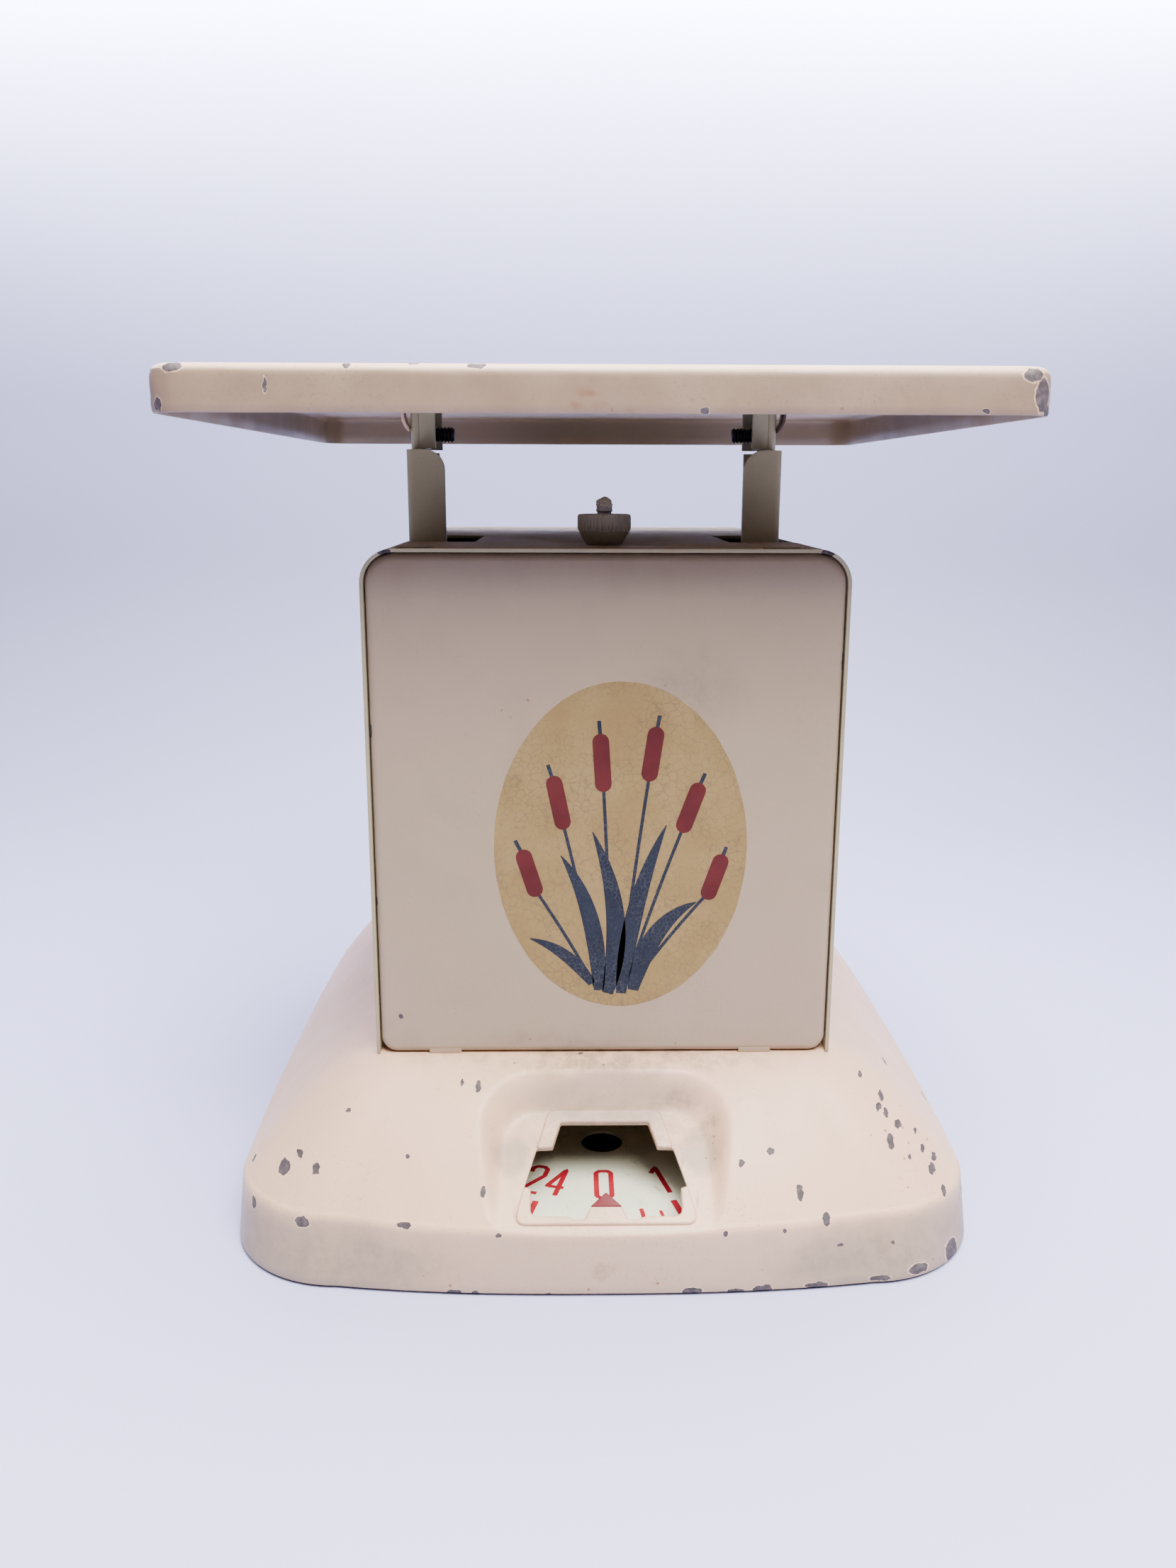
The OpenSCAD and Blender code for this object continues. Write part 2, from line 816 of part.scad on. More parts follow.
module dial_hub() color(brass) {
    translate([0, dial_y, 0])
        difference() {
            union() {
                translate([0, 0, dial_z - dial_t - 2])
                    cylinder(r = 11, h = 2);
                translate([0, 0, dial_z - dial_t])
                    cylinder(r = hub_r, h = 5);
            }
            translate([0, 0, dial_z - 6])
                cylinder(r = shaft_r, h = 14);
        }
}

module dial_shaft() color(steel) {
    translate([0, dial_y, 0]) {
        translate([0, 0, plate_z + plate_t + 1.5])
            cylinder(r = spigot_r, h = 5);
        translate([0, 0, plate_z + plate_t + 5.2])
            cylinder(r = shaft_r, h = 38.6);
        translate([0, 0, plate_z + plate_t + 43])
            cylinder(r = spigot_r, h = 6);
    }
}

module dial_pivot_cup() color(brass) {
    translate([0, dial_y, plate_z + plate_t])
        difference() {
            union() {
                cylinder(r = 8, h = 1.2);
                cylinder(r = 4.5, h = 5);
            }
            translate([0, 0, 1.4])
                cylinder(r = spigot_r + run, h = 5);
        }
}

module dial_top_bush() color(brass) {
    translate([0, dial_y, 0])
        difference() {
            union() {
                translate([0, 0, bridge_top - bridge_t - 1.5])
                    cylinder(r = 5, h = 1.5);
                translate([0, 0, bridge_top - bridge_t - 0.2])
                    cylinder(r = 3, h = bridge_t + 1.2);
            }
            translate([0, 0, bridge_top - 6])
                cylinder(r = spigot_r + run, h = 12);
        }
}

// Puts a right-hand part in its place on the carriage, or its mirror image if flip is 1
module on_carriage(flip) {
    translate([carriage_x, 0, 0])
        mirror([flip, 0, 0])
            children();
}

// Block with round corners and an eased upper edge, set in by a skin thickness
module tray_form(skin) {
    r = tray_r - skin;
    low = tray_top - rim_h - (skin > 0 ? cut : 0);
    high = tray_top - skin;
    translate([carriage_x, weigh_y, low])
        hull()
            for (ease = tray_ease, sx = [-1, 1], sy = [-1, 1])
                translate([sx * (tray_w / 2 - tray_r), sy * (tray_d / 2 - tray_r), 0])
                    cylinder(r = r - ease[0], h = high - low - ease[1], $fn = 32);
}

module tray() color(painted) {
    difference() {
        tray_form(0);
        tray_form(sheet);
    }
}

// Right-hand bracket under the tray: a short channel with a flat foot
module tray_bracket() {
    x1 = post_x - tab_flange - bracket_gap;
    under = tray_top - sheet;
    low = post_high + bracket_rise;
    y0 = weigh_y - bracket_w / 2;
    difference() {
        union() {
            translate([x1 - bracket_t, y0, low])
                cube([bracket_t, bracket_w, under - low]);
            for (y = [y0, y0 + bracket_w - bracket_t])
                translate([x1 - bracket_leg, y, low])
                    cube([bracket_leg, bracket_t, under - low]);
            translate([x1 - bracket_foot, y0, under - bracket_t])
                cube([bracket_foot, bracket_w, bracket_t]);
        }
        rod_x(x1 - bracket_t - cut, x1 + cut, weigh_y, tray_screw_z, tray_screw_r);
    }
}

module tray_bracket_right() color(painted) on_carriage(0) tray_bracket();

module tray_bracket_left() color(painted) on_carriage(1) tray_bracket();

module tray_screws() color("DimGray") {
    for (flip = [0, 1])
        on_carriage(flip) {
            rod_x(post_x - screw_len, post_x, weigh_y, tray_screw_z, tray_screw_r);
            rod_x(post_x, post_x + screw_head_t, weigh_y, tray_screw_z, screw_head_r);
        }
}

// Flange of a post with its inner upper corner rounded
module post_flange_side() {
    r = post_corner_r;
    x0 = post_x - post_flange;
    difference() {
        translate([x0, post_low])
            square([post_flange, post_high - post_low]);
        translate([x0 - cut, post_high - r])
            square([r + cut, r + cut]);
    }
    intersection() {
        translate([x0 + r, post_high - r])
            circle(r = r);
        translate([x0, post_high - r])
            square([post_flange, r]);
    }
}

// Right-hand post: a channel with a narrow rear flange, and a small channel above it
module post() {
    tab_y = weigh_y - tab_w / 2;
    difference() {
        union() {
            translate([post_web_x, post_y0, post_low])
                cube([post_t, post_d, post_high - post_low]);
            translate([post_web_x, tab_y, post_high - cut])
                cube([post_t, tab_w, tab_top - post_high + cut]);
            for (y = [tab_y, tab_y + tab_w - post_t])
                translate([post_x - tab_flange, y, post_high - cut])
                    cube([tab_flange, post_t, tab_top - post_high + cut]);
            slab_y(post_y0, post_y0 + post_t)
                post_flange_side();
            translate([post_x - rear_flange, post_y1 - post_t, post_low])
                cube([rear_flange, post_t, post_high - post_low]);
        }
        for (z = [link_low_z, link_high_z])
            rod_x(post_web_x - cut, post_x + cut, link_post_y, z + travel / 2, link_pin_r);
        rod_x(post_web_x - cut, post_x + cut, weigh_y, tray_screw_z, tray_screw_r);
        rod_x(post_web_x - cut, post_x + cut, weigh_y, yoke_rivet_z, yoke_rivet_r);
    }
}

module post_right() color(painted) on_carriage(0) post();

module post_left() color(painted) on_carriage(1) post();

// Cross bar between the posts, with an arm out over the spring
module yoke() color(steel) {
    arm_front = knob_y - 12;
    bar_d = yoke_y[1] - yoke_y[0];
    bar_t = yoke_z[1] - yoke_z[0];
    difference() {
        union() {
            translate([carriage_x - post_web_x, yoke_y[0], yoke_z[0]])
                cube([2 * post_web_x, bar_d, bar_t]);
            translate([-arm_half, arm_front, yoke_z[0]])
                cube([2 * arm_half, yoke_y[1] - arm_front, bar_t]);
            for (flip = [0, 1])
                on_carriage(flip)
                    translate([post_web_x - yoke_side_t, yoke_y[0], yoke_z[0] - yoke_drop])
                        cube([yoke_side_t, bar_d, yoke_drop + bar_t]);
            for (x = [-arm_half - yoke_side_t, arm_half])
                translate([x, arm_front, yoke_z[0] - arm_drop])
                    cube([yoke_side_t, yoke_y[0] - arm_front, arm_drop + bar_t]);
            translate([crank_x + 2.4, drive_y - drive_tab, drive_z - drive_tab])
                cube([drive_tab_t, 2 * drive_tab, yoke_z[0] - drive_z + drive_tab + cut / 2]);
        }
        translate([0, knob_y, yoke_z[0] - cut])
            cylinder(r = rod_r + 1, h = bar_t + 2 * cut);
        rod_x(crank_x + 2, crank_x + 5, drive_y, drive_z, drive_pin_r);
        rod_x(carriage_x - post_x, carriage_x + post_x, weigh_y, yoke_rivet_z, yoke_rivet_r);
    }
}

module yoke_rivets() color(steel) {
    for (flip = [0, 1])
        on_carriage(flip) {
            rod_x(post_web_x - yoke_side_t, post_x, weigh_y, yoke_rivet_z, yoke_rivet_r);
            rod_x(post_x, post_x + 1, weigh_y, yoke_rivet_z, yoke_rivet_r + 1.2);
            rod_x(post_web_x - yoke_side_t - 1, post_web_x - yoke_side_t, weigh_y, yoke_rivet_z,
                  yoke_rivet_r + 1.2);
        }
}

module drive_pin() color(steel) {
    rod_x(crank_x - 1.6, crank_x + 4, drive_y, drive_z, drive_pin_r);
    rod_x(crank_x + 4, crank_x + 4.8, drive_y, drive_z, drive_pin_r + 1);
}

module zero_knob() color("Tan") {
    waist_r = knob_r * 0.67;
    translate([0, knob_y, knob_z])
        difference() {
            union() {
                cylinder(r1 = waist_r, r2 = knob_r - knurl_t, h = knob_cone_h);
                translate([0, 0, knob_cone_h])
                    cylinder(r = knob_r - knurl_t, h = knob_band_h);
                for (i = [0:knurls - 1])
                    rotate(i * 360 / knurls)
                        translate([knob_r - 2 * knurl_t, -0.27, knob_cone_h])
                            cube([2 * knurl_t, 0.54, knob_band_h - 0.1]);
            }
            translate([0, 0, -cut])
                cylinder(r = rod_r + run, h = 12);
        }
}

module adjusting_rod() color(steel) {
    translate([0, knob_y, 0]) {
        translate([0, 0, seat_z - 7.5])
            cylinder(r = rod_r, h = end_z[0] + cut - seat_z + 7.5);
        translate([0, 0, end_z[0]])
            cylinder(r = end_r, h = end_z[1] - end_z[0]);
        translate([0, 0, end_z[1]])
            cylinder(r1 = end_r, r2 = end_tip_r, h = 1.6);
    }
}

module rod_bush() color(brass) {
    translate([0, knob_y, 0])
        difference() {
            union() {
                translate([0, 0, tower_top - wrap_t - 3])
                    cylinder(r = 7, h = 3);
                translate([0, 0, tower_top - wrap_t - 1])
                    cylinder(r = bush_r, h = wrap_t + 1);
            }
            translate([0, 0, tower_top - 8])
                cylinder(r = rod_r + run, h = 12);
        }
}

module spring_seat() color(steel) {
    translate([0, knob_y, seat_z])
        difference() {
            union() {
                translate([0, 0, -2])
                    cylinder(r = spring_r + 3, h = 2);
                cylinder(r = spring_r - wire_r - 0.6, h = 3.5);
            }
            translate([0, 0, -3])
                cylinder(r = rod_r, h = 9);
        }
}

module seat_nut() color(steel) {
    translate([0, knob_y, seat_z - 6])
        difference() {
            cylinder(r = 5.2, h = 4, $fn = 6);
            translate([0, 0, -cut])
                cylinder(r = rod_r, h = 6, $fn = 64);
        }
}

// Point on the coil: turns from 0 up, and an angle around the wire's section
function coil(turn, a) =
    let (low = seat_z + wire_r,
         high = yoke_z[0] - wire_r,
         live_turns = spring_turns - 2 * spring_dead,
         live = min(max(turn - spring_dead, 0), live_turns) / live_turns,
         r = spring_r + wire_r * cos(a),
         z = low + live * (high - low) + wire_r * sin(a))
    [r * cos(turn * 360), r * sin(turn * 360), z];

module main_spring() color(steel) {
    rings = spring_turns * spring_steps;
    points = [for (i = [0:rings], k = [0:spring_sides - 1])
        coil(i / spring_steps, -k * 360 / spring_sides)];
    walls = [for (i = [0:rings - 1], k = [0:spring_sides - 1])
        let (a = i * spring_sides + k,
             b = i * spring_sides + (k + 1) % spring_sides)
        [a, b, b + spring_sides, a + spring_sides]];
    first = [for (k = [spring_sides - 1:-1:0]) k];
    last = [for (k = [0:spring_sides - 1]) rings * spring_sides + k];
    translate([0, knob_y, 0])
        polyhedron(points, concat(walls, [first, last]));
}

base_shell();
bottom_plate();
rubber_feet();
tower_surround();
front_panel();
rear_panel();
rear_panel_screws();
tower_screws();
tower_nuts();
bridge_plate();
link_bracket();
upper_link_shaft();
lower_link_shaft();
upper_check_link();
lower_check_link();
crank_bracket();
crank_pivot();
bell_crank();
crank_pin();
rack();
rack_guide();
dial_disc();
dial_hub();
dial_shaft();
dial_pinion();
dial_pivot_cup();
dial_top_bush();
tray();
tray_bracket_left();
tray_bracket_right();
tray_screws();
post_left();
post_right();
yoke();
yoke_rivets();
drive_pin();
upper_post_rod();
lower_post_rod();
zero_knob();
adjusting_rod();
rod_bush();
spring_seat();
seat_nut();
main_spring();
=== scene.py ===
"""Looks of the kitchen scale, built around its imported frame. Sizes are in metres."""

import json
import math

import bmesh
import bpy
import numpy as np
from mathutils import Matrix, Vector, noise

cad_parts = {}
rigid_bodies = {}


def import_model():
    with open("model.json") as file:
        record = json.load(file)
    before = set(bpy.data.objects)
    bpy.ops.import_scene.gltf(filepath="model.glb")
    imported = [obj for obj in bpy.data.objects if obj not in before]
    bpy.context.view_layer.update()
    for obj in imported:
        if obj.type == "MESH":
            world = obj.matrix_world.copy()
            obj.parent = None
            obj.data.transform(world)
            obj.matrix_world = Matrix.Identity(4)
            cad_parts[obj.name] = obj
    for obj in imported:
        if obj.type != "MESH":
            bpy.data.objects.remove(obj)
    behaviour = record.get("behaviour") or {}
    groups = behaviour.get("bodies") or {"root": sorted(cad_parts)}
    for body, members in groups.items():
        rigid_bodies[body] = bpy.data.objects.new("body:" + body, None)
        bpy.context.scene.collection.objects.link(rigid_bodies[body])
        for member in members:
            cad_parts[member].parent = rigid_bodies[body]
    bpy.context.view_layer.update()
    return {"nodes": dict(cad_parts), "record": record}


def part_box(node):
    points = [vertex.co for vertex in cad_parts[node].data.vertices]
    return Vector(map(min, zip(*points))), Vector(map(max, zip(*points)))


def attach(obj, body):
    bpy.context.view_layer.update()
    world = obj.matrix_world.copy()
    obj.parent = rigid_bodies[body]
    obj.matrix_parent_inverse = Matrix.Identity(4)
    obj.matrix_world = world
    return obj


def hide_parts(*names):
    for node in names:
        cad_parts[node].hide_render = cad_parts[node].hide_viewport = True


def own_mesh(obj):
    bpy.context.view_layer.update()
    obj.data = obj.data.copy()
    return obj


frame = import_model()
nodes = frame["nodes"]
MM = 0.001

# ---------------------------------------------------------------- places from the frame
BASE_LOW, BASE_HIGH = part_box("base_shell")
TOWER_LOW, TOWER_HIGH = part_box("tower_surround")
TRAY_LOW, TRAY_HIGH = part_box("tray")
DIAL_LOW, DIAL_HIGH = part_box("dial_disc")
KNOB_LOW, KNOB_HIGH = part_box("zero_knob")
ROD_LOW, ROD_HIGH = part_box("adjusting_rod")
POST_LOW, POST_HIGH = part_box("post_right")
SPRING_LOW, SPRING_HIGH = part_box("main_spring")
SCREW_LOW, SCREW_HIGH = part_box("tray_screws")
DIAL_Y = (DIAL_LOW.y + DIAL_HIGH.y) / 2
KNOB_Y = (KNOB_LOW.y + KNOB_HIGH.y) / 2
WEIGH_Y = (POST_LOW.y + POST_HIGH.y) / 2
TRAY_X = (TRAY_LOW.x + TRAY_HIGH.x) / 2
FACE_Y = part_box("front_panel")[0].y
SHEET = 1.2 * MM
THREAD_PITCH = 1.06 * MM
THREAD_DEEP = 0.42 * MM
THREAD_R = 2.4 * MM
UPRIGHT = Matrix.Rotation(math.pi / 2, 4, "X")
SKIRT_TOP = 19 * MM
DECK_Z = BASE_HIGH.z
WINDOW_TILT = math.radians(36)
WINDOW_FOOT = Vector((0, BASE_LOW.y + 1 * MM, 18.2 * MM))


# ---------------------------------------------------------------- materials
class Graph:
    """A material's node tree with short calls for the nodes used here."""

    def __init__(self, name):
        self.material = bpy.data.materials.new(name)
        self.material.use_nodes = True
        self.tree = self.material.node_tree
        self.shader = self.tree.nodes["Principled BSDF"]
        self.place = self.tree.nodes.new("ShaderNodeTexCoord").outputs["Object"]

    def add(self, kind, inputs=(), **props):
        node = self.tree.nodes.new("ShaderNode" + kind)
        for key, value in props.items():
            setattr(node, key, value)
        for socket, value in dict(inputs).items():
            self.put(node.inputs[socket], value)
        return node

    def put(self, socket, value):
        if isinstance(value, bpy.types.NodeSocket):
            self.tree.links.new(value, socket)
        else:
            socket.default_value = value

    def set(self, **sockets):
        for name, value in sockets.items():
            self.put(self.shader.inputs[name.replace("_", " ")], value)

    def noise(self, scale, detail, rough=0.5, warp=0.0):
        inputs = {"Vector": self.place, "Scale": scale, "Detail": detail,
                  "Roughness": rough, "Distortion": warp}
        return self.add("TexNoise", inputs).outputs["Fac"]

    def cells(self, scale, feature="F1", place=None):
        inputs = {"Vector": place or self.place, "Scale": scale}
        return self.add("TexVoronoi", inputs, feature=feature)

    def math(self, operation, a, b=0.0):
        return self.add("Math", {0: a, 1: b}, operation=operation).outputs[0]

    def times(self, a, b):
        return self.math("MULTIPLY", a, b)

    def vector(self, operation, a, b=(0, 0, 0), out=0):
        return self.add("VectorMath", {0: a, 1: b}, operation=operation).outputs[out]

    def step(self, value, low, high, to_low=0.0, to_high=1.0):
        """Smooth change from to_low to to_high as value goes from low to high."""
        inputs = {"Value": value, "From Min": low, "From Max": high,
                  "To Min": to_low, "To Max": to_high}
        node = self.add("MapRange", inputs, interpolation_type="SMOOTHSTEP")
        return node.outputs["Result"]

    def mix(self, share, a, b):
        node = self.add("Mix", data_type="RGBA")
        for index, value in ((0, share), (6, a), (7, b)):
            if isinstance(value, tuple):
                value = (*value, 1.0)
            self.put(node.inputs[index], value)
        return node.outputs[2]

    def bump(self, height, distance, strength, normal=None):
        inputs = {"Height": height, "Distance": distance, "Strength": strength}
        if normal:
            inputs["Normal"] = normal
        return self.add("Bump", inputs).outputs["Normal"]

    def spots(self, places, place):
        """Distance to the nearest spot's edge, below 0 inside. A spot is x, y, z, and half its
        width and height, in mm."""
        nearest = None
        for x, y, z, wide, high in places:
            away = self.vector("SUBTRACT", place, (x * MM, y * MM, z * MM))
            deep = max(3.0, wide) * MM
            away = self.vector("MULTIPLY", away, (1 / (wide * MM), 1 / deep, 1 / (high * MM)))
            away = self.vector("LENGTH", away, out=1)
            nearest = away if nearest is None else self.math("MINIMUM", nearest, away)
        return self.math("SUBTRACT", nearest, 1.0)

    def hair_lines(self, scale, warp, wide):
        """Hair lines, which follow the middle level of a warped noise."""
        level = self.math("SUBTRACT", self.noise(scale, 3, 0.5, warp), 0.5)
        return self.step(self.math("ABSOLUTE", level), 0.002, wide, 1.0, 0.0)

    def specks(self, scale, share, radius, zone, zone_share):
        """Small round spots in a share of the cells of a pattern, and in more cells in a zone."""
        dots = self.cells(scale)
        pick = self.add("SeparateColor", {0: dots.outputs["Color"]}).outputs[0]
        least = 1.0 - share
        if zone is not None:
            least = self.math("SUBTRACT", least, self.times(zone, zone_share))
        past = self.math("SUBTRACT", pick, least)
        size = self.step(past, 0.0, 0.08, 0.0, radius * scale)
        ragged = self.step(self.noise(scale * 5, 2), 0.3, 0.7, -0.06, 0.06)
        away = self.math("SUBTRACT", self.math("ADD", dots.outputs["Distance"], ragged), size)
        inside = self.step(away, -0.03, 0.01, 1.0, 0.0)
        return self.times(inside, self.step(past, 0.0, 0.01))

    def ragged(self, scale, size):
        """The place, shaken by noise, so that what is drawn from it has uneven edges."""
        shake = self.add("TexNoise", {"Vector": self.place, "Scale": scale, "Detail": 4.0})
        shake = self.vector("SUBTRACT", shake.outputs["Color"], (0.5, 0.5, 0.5))
        shake = self.vector("MULTIPLY", shake, (size, size, size))
        return self.vector("ADD", self.place, shake)


CREAM = (0.68, 0.475, 0.335)
PINK_CREAM = (0.71, 0.49, 0.365)
GREY_CREAM = (0.56, 0.395, 0.28)
# Dark brown of grime; some of the base's stains use it for painted shade
GRIME = (0.20, 0.135, 0.085)
RUST = (0.17, 0.07, 0.03)
BARE = (0.045, 0.034, 0.034)


def tinted(colour, tint):
    return tuple(c * t for c, t in zip(colour, tint))


def enamel(name, tint, dirt, chips=(), stains=(), rust=(), zones=(), shades=(), fades=(),
           shade_and_dirt_tone=None, gloss=0.4, dull=0.0):
    """Old baked enamel: mottled cream, fine dirt, hair lines, and chips down to dark metal.
    Shades and fades are painted shade, with some dirt, towards a dark tone. A fade is the height
    in mm where it starts, the one where it is full, and its strength. The other marks are lists of
    spots."""
    g = Graph(name)
    colours = [tinted(colour, tint) for colour in (CREAM, PINK_CREAM, GREY_CREAM)]
    broad = g.step(g.noise(11, 2), 0.38, 0.62)
    colour = g.mix(broad, colours[0], colours[1])
    cloud = g.step(g.noise(42, 5, 0.6, 0.4), 0.48, 0.78)
    colour = g.mix(g.times(cloud, 0.45), colour, colours[2])
    # Fine dirt lies in patches
    fine = g.step(g.noise(1500, 2, 0.6), 0.58, 0.70)
    patch = g.step(g.noise(30, 4, 0.6), 0.42, 0.66, 0.15, 1.0)
    fine = g.times(g.times(fine, patch), dirt)
    colour = g.mix(fine, colour, GRIME)
    where = g.step(g.noise(95, 3, 0.6), 0.56, 0.66)
    hairs = g.times(g.times(g.hair_lines(210, 1.2, 0.010), where), 0.36)
    colour = g.mix(hairs, colour, GRIME)
    rough = g.step(g.noise(60, 4), 0.3, 0.7, 0.38 + dull, 0.52 + dull)
    # Fades are painted shade, with some dirt, by height
    for clear, full, amount in fades:
        height = g.add("SeparateXYZ", {0: g.place}).outputs[2]
        ends = (0.0, amount) if full > clear else (amount, 0.0)
        share = g.step(height, min(clear, full) * MM, max(clear, full) * MM, *ends)
        share = g.times(share, g.step(g.noise(50, 4, 0.6), 0.3, 0.7, 0.9, 1.0))
        colour = g.mix(share, colour, shade_and_dirt_tone)
    # Stains are dirt; on the base some of them are painted shade too
    for places, tone, most, shake in ((stains, GRIME, 0.74, 0.012), (rust, RUST, 0.85, 0.004)):
        if places:
            edge = g.spots(places, g.ragged(120, shake))
            cover = g.step(edge, -0.9, 0.35, most, 0.0)
            mottle = g.step(g.noise(260, 5, 0.7), 0.34, 0.66, 0.25, 1.0)
            colour = g.mix(g.times(cover, mottle), colour, tone)
    # Shades are spots of painted shade, with some dirt
    if shades:
        dim = g.step(g.spots(shades, g.ragged(40, 0.006)), -0.45, 0.12, 0.55, 0.0)
        colour = g.mix(dim, colour, shade_and_dirt_tone)
    # Small specks anywhere, and more in the zones named
    near = g.step(g.spots(zones, g.place), -0.8, 0.3, 1.0, 0.0) if zones else None
    small = g.specks(420, 0.035, 0.00045, near, 0.16)
    colour = g.mix(g.times(small, 0.75), colour, RUST)
    bare = g.specks(150, 0.02, 0.0009, near, 0.12)
    if chips:
        edge = g.spots(chips, g.ragged(620, 0.0016))
        bare = g.math("MAXIMUM", bare, g.step(edge, -0.04, 0.02, 1.0, 0.0))
        rim = g.step(g.math("ABSOLUTE", g.math("SUBTRACT", edge, 0.12)), 0.0, 0.12, 0.5, 0.0)
        colour = g.mix(rim, colour, tuple(min(1.0, c * 1.2) for c in colours[1]))
    metal = g.mix(g.step(g.noise(700, 4), 0.4, 0.7), BARE, tinted(BARE, (2.1, 2.1, 2.1)))
    colour = g.mix(bare, colour, metal)
    peel = g.bump(g.noise(420, 3, 0.55), 0.00012, 0.5)
    dents = g.bump(g.noise(24, 2), 0.0012, 0.35, peel)
    normal = g.bump(g.math("SUBTRACT", 1.0, bare), 0.00016, 0.8, dents)
    g.set(Base_Color=colour, Roughness=g.math("ADD", rough, g.times(bare, 0.2)),
          Normal=normal, Specular_IOR_Level=gloss)
    return g.material


def bare_metal(name, colour, rough, tarnish=(0.10, 0.07, 0.05), amount=0.35):
    """Cut or turned metal with a fine grain, dull patches and a little tarnish."""
    g = Graph(name)
    dull = g.step(g.noise(70, 5, 0.6), 0.42, 0.72)
    tone = g.mix(g.times(dull, amount), colour, tarnish)
    spots = g.step(g.noise(420, 4, 0.7), 0.62, 0.74, 0.0, amount)
    tone = g.mix(spots, tone, tarnish)
    fine = g.noise(900, 3)
    rough = g.math("ADD", g.step(fine, 0.3, 0.7, rough - 0.06, rough + 0.06),
                   g.times(dull, 0.18))
    g.set(Base_Color=tone, Roughness=rough, Normal=g.bump(fine, 0.00005, 0.5), Metallic=1.0)
    return g.material


def rubber(name):
    g = Graph(name)
    dust = g.step(g.noise(300, 4), 0.45, 0.7, 0.0, 0.5)
    g.set(Base_Color=g.mix(dust, (0.02, 0.019, 0.018), (0.07, 0.064, 0.058)),
          Roughness=g.step(g.noise(90, 3), 0.3, 0.7, 0.65, 0.85),
          Normal=g.bump(g.noise(1200, 3), 0.00006, 0.6))
    return g.material


def printed(name, colour, faded, crackle=0.0, cell=420, wear=0.3, crack=GRIME):
    """Printed ink or transfer film: uneven, with a net of fine cracks and worn specks."""
    g = Graph(name)
    tone = g.mix(g.step(g.noise(70, 5, 0.6), 0.36, 0.68), colour, faded)
    if crackle:
        shaken = g.ragged(700, 0.0016)
        edge = g.cells(cell, "DISTANCE_TO_EDGE", shaken).outputs["Distance"]
        line = g.step(edge, 0.0, 0.07, 1.0, 0.0)
        where = g.step(g.noise(48, 3, 0.6), 0.36, 0.6, 0.25, 1.0)
        tone = g.mix(g.times(g.times(line, where), crackle), tone, crack)
    specks = g.step(g.noise(900, 3, 0.7), 0.60, 0.70, 0.0, wear)
    tone = g.mix(specks, tone, crack)
    g.set(Base_Color=tone, Roughness=g.step(g.noise(120, 4), 0.3, 0.7, 0.42, 0.6),
          Normal=g.bump(g.noise(500, 3), 0.00008, 0.5), Specular_IOR_Level=0.2)
    return g.material


def dial_paint(name):
    """Pale greenish-cream print stock with brown age spots."""
    g = Graph(name)
    tone = g.mix(g.step(g.noise(26, 4), 0.35, 0.65), (0.62, 0.62, 0.47), (0.68, 0.66, 0.50))
    age = g.step(g.noise(130, 5, 0.7, 0.6), 0.58, 0.74, 0.0, 0.6)
    tone = g.mix(age, tone, (0.27, 0.22, 0.14))
    hairs = g.times(g.hair_lines(160, 1.0, 0.009), g.step(g.noise(60, 3), 0.5, 0.64, 0.0, 0.5))
    tone = g.mix(hairs, tone, (0.2, 0.16, 0.1))
    g.set(Base_Color=tone, Roughness=0.62, Normal=g.bump(g.noise(600, 3), 0.00006, 0.5))
    return g.material


def ground(name):
    """Pale studio sweep under and behind the object."""
    g = Graph(name)
    tone = g.mix(g.step(g.noise(1.6, 2), 0.35, 0.65), (0.40, 0.41, 0.64), (0.43, 0.44, 0.67))
    g.set(Base_Color=tone, Roughness=0.75, Normal=g.bump(g.noise(300, 3), 0.0001, 0.3))
    return g.material


# ---------------------------------------------------------------- mesh tools
def to_scene(obj):
    objects = bpy.context.scene.collection.objects
    if obj.name not in objects:
        objects.link(obj)
    return obj


def paint(obj, material):
    obj.data.materials.clear()
    obj.data.materials.append(material)


def link(obj, material, body="housing", stands_for=()):
    """Puts a finished piece in the scene, on its body, with its material."""
    paint(to_scene(obj), material)
    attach(obj, body)
    if stands_for:
        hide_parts(*stands_for)
    return obj


def smooth(mesh, angle):
    mesh.polygons.foreach_set("use_smooth", [True] * len(mesh.polygons))
    mesh.set_sharp_from_angle(angle=math.radians(angle))
    mesh.update()


def new_mesh(name, points, faces, angle):
    mesh = bpy.data.meshes.new(name)
    mesh.from_pydata([tuple(p) for p in points], [], faces)
    mesh.validate()
    bm = bmesh.new()
    bm.from_mesh(mesh)
    bmesh.ops.remove_doubles(bm, verts=bm.verts, dist=1e-7)
    bmesh.ops.recalc_face_normals(bm, faces=bm.faces)
    bm.to_mesh(mesh)
    bm.free()
    smooth(mesh, angle)
    return bpy.data.objects.new(name, mesh)


def baked(obj, angle):
    """Makes an object's modifiers part of its mesh."""
    to_scene(obj)
    bpy.context.view_layer.update()
    graph = bpy.context.evaluated_depsgraph_get()
    mesh = bpy.data.meshes.new_from_object(obj.evaluated_get(graph))
    if obj.type == "MESH":
        obj.modifiers.clear()
        obj.data = mesh
        smooth(mesh, angle)
        return obj
    solid = bpy.data.objects.new(obj.name + "_mesh", mesh)
    bpy.data.objects.remove(obj)
    smooth(mesh, angle)
    return to_scene(solid)


def cut_away(obj, cutter, angle=35):
    """Takes the cutter's volume out of obj and deletes the cutter."""
    change = obj.modifiers.new("cut", "BOOLEAN")
    change.operation = "DIFFERENCE"
    change.solver = "EXACT"
    change.object = to_scene(cutter)
    baked(obj, angle)
    bpy.data.objects.remove(cutter)


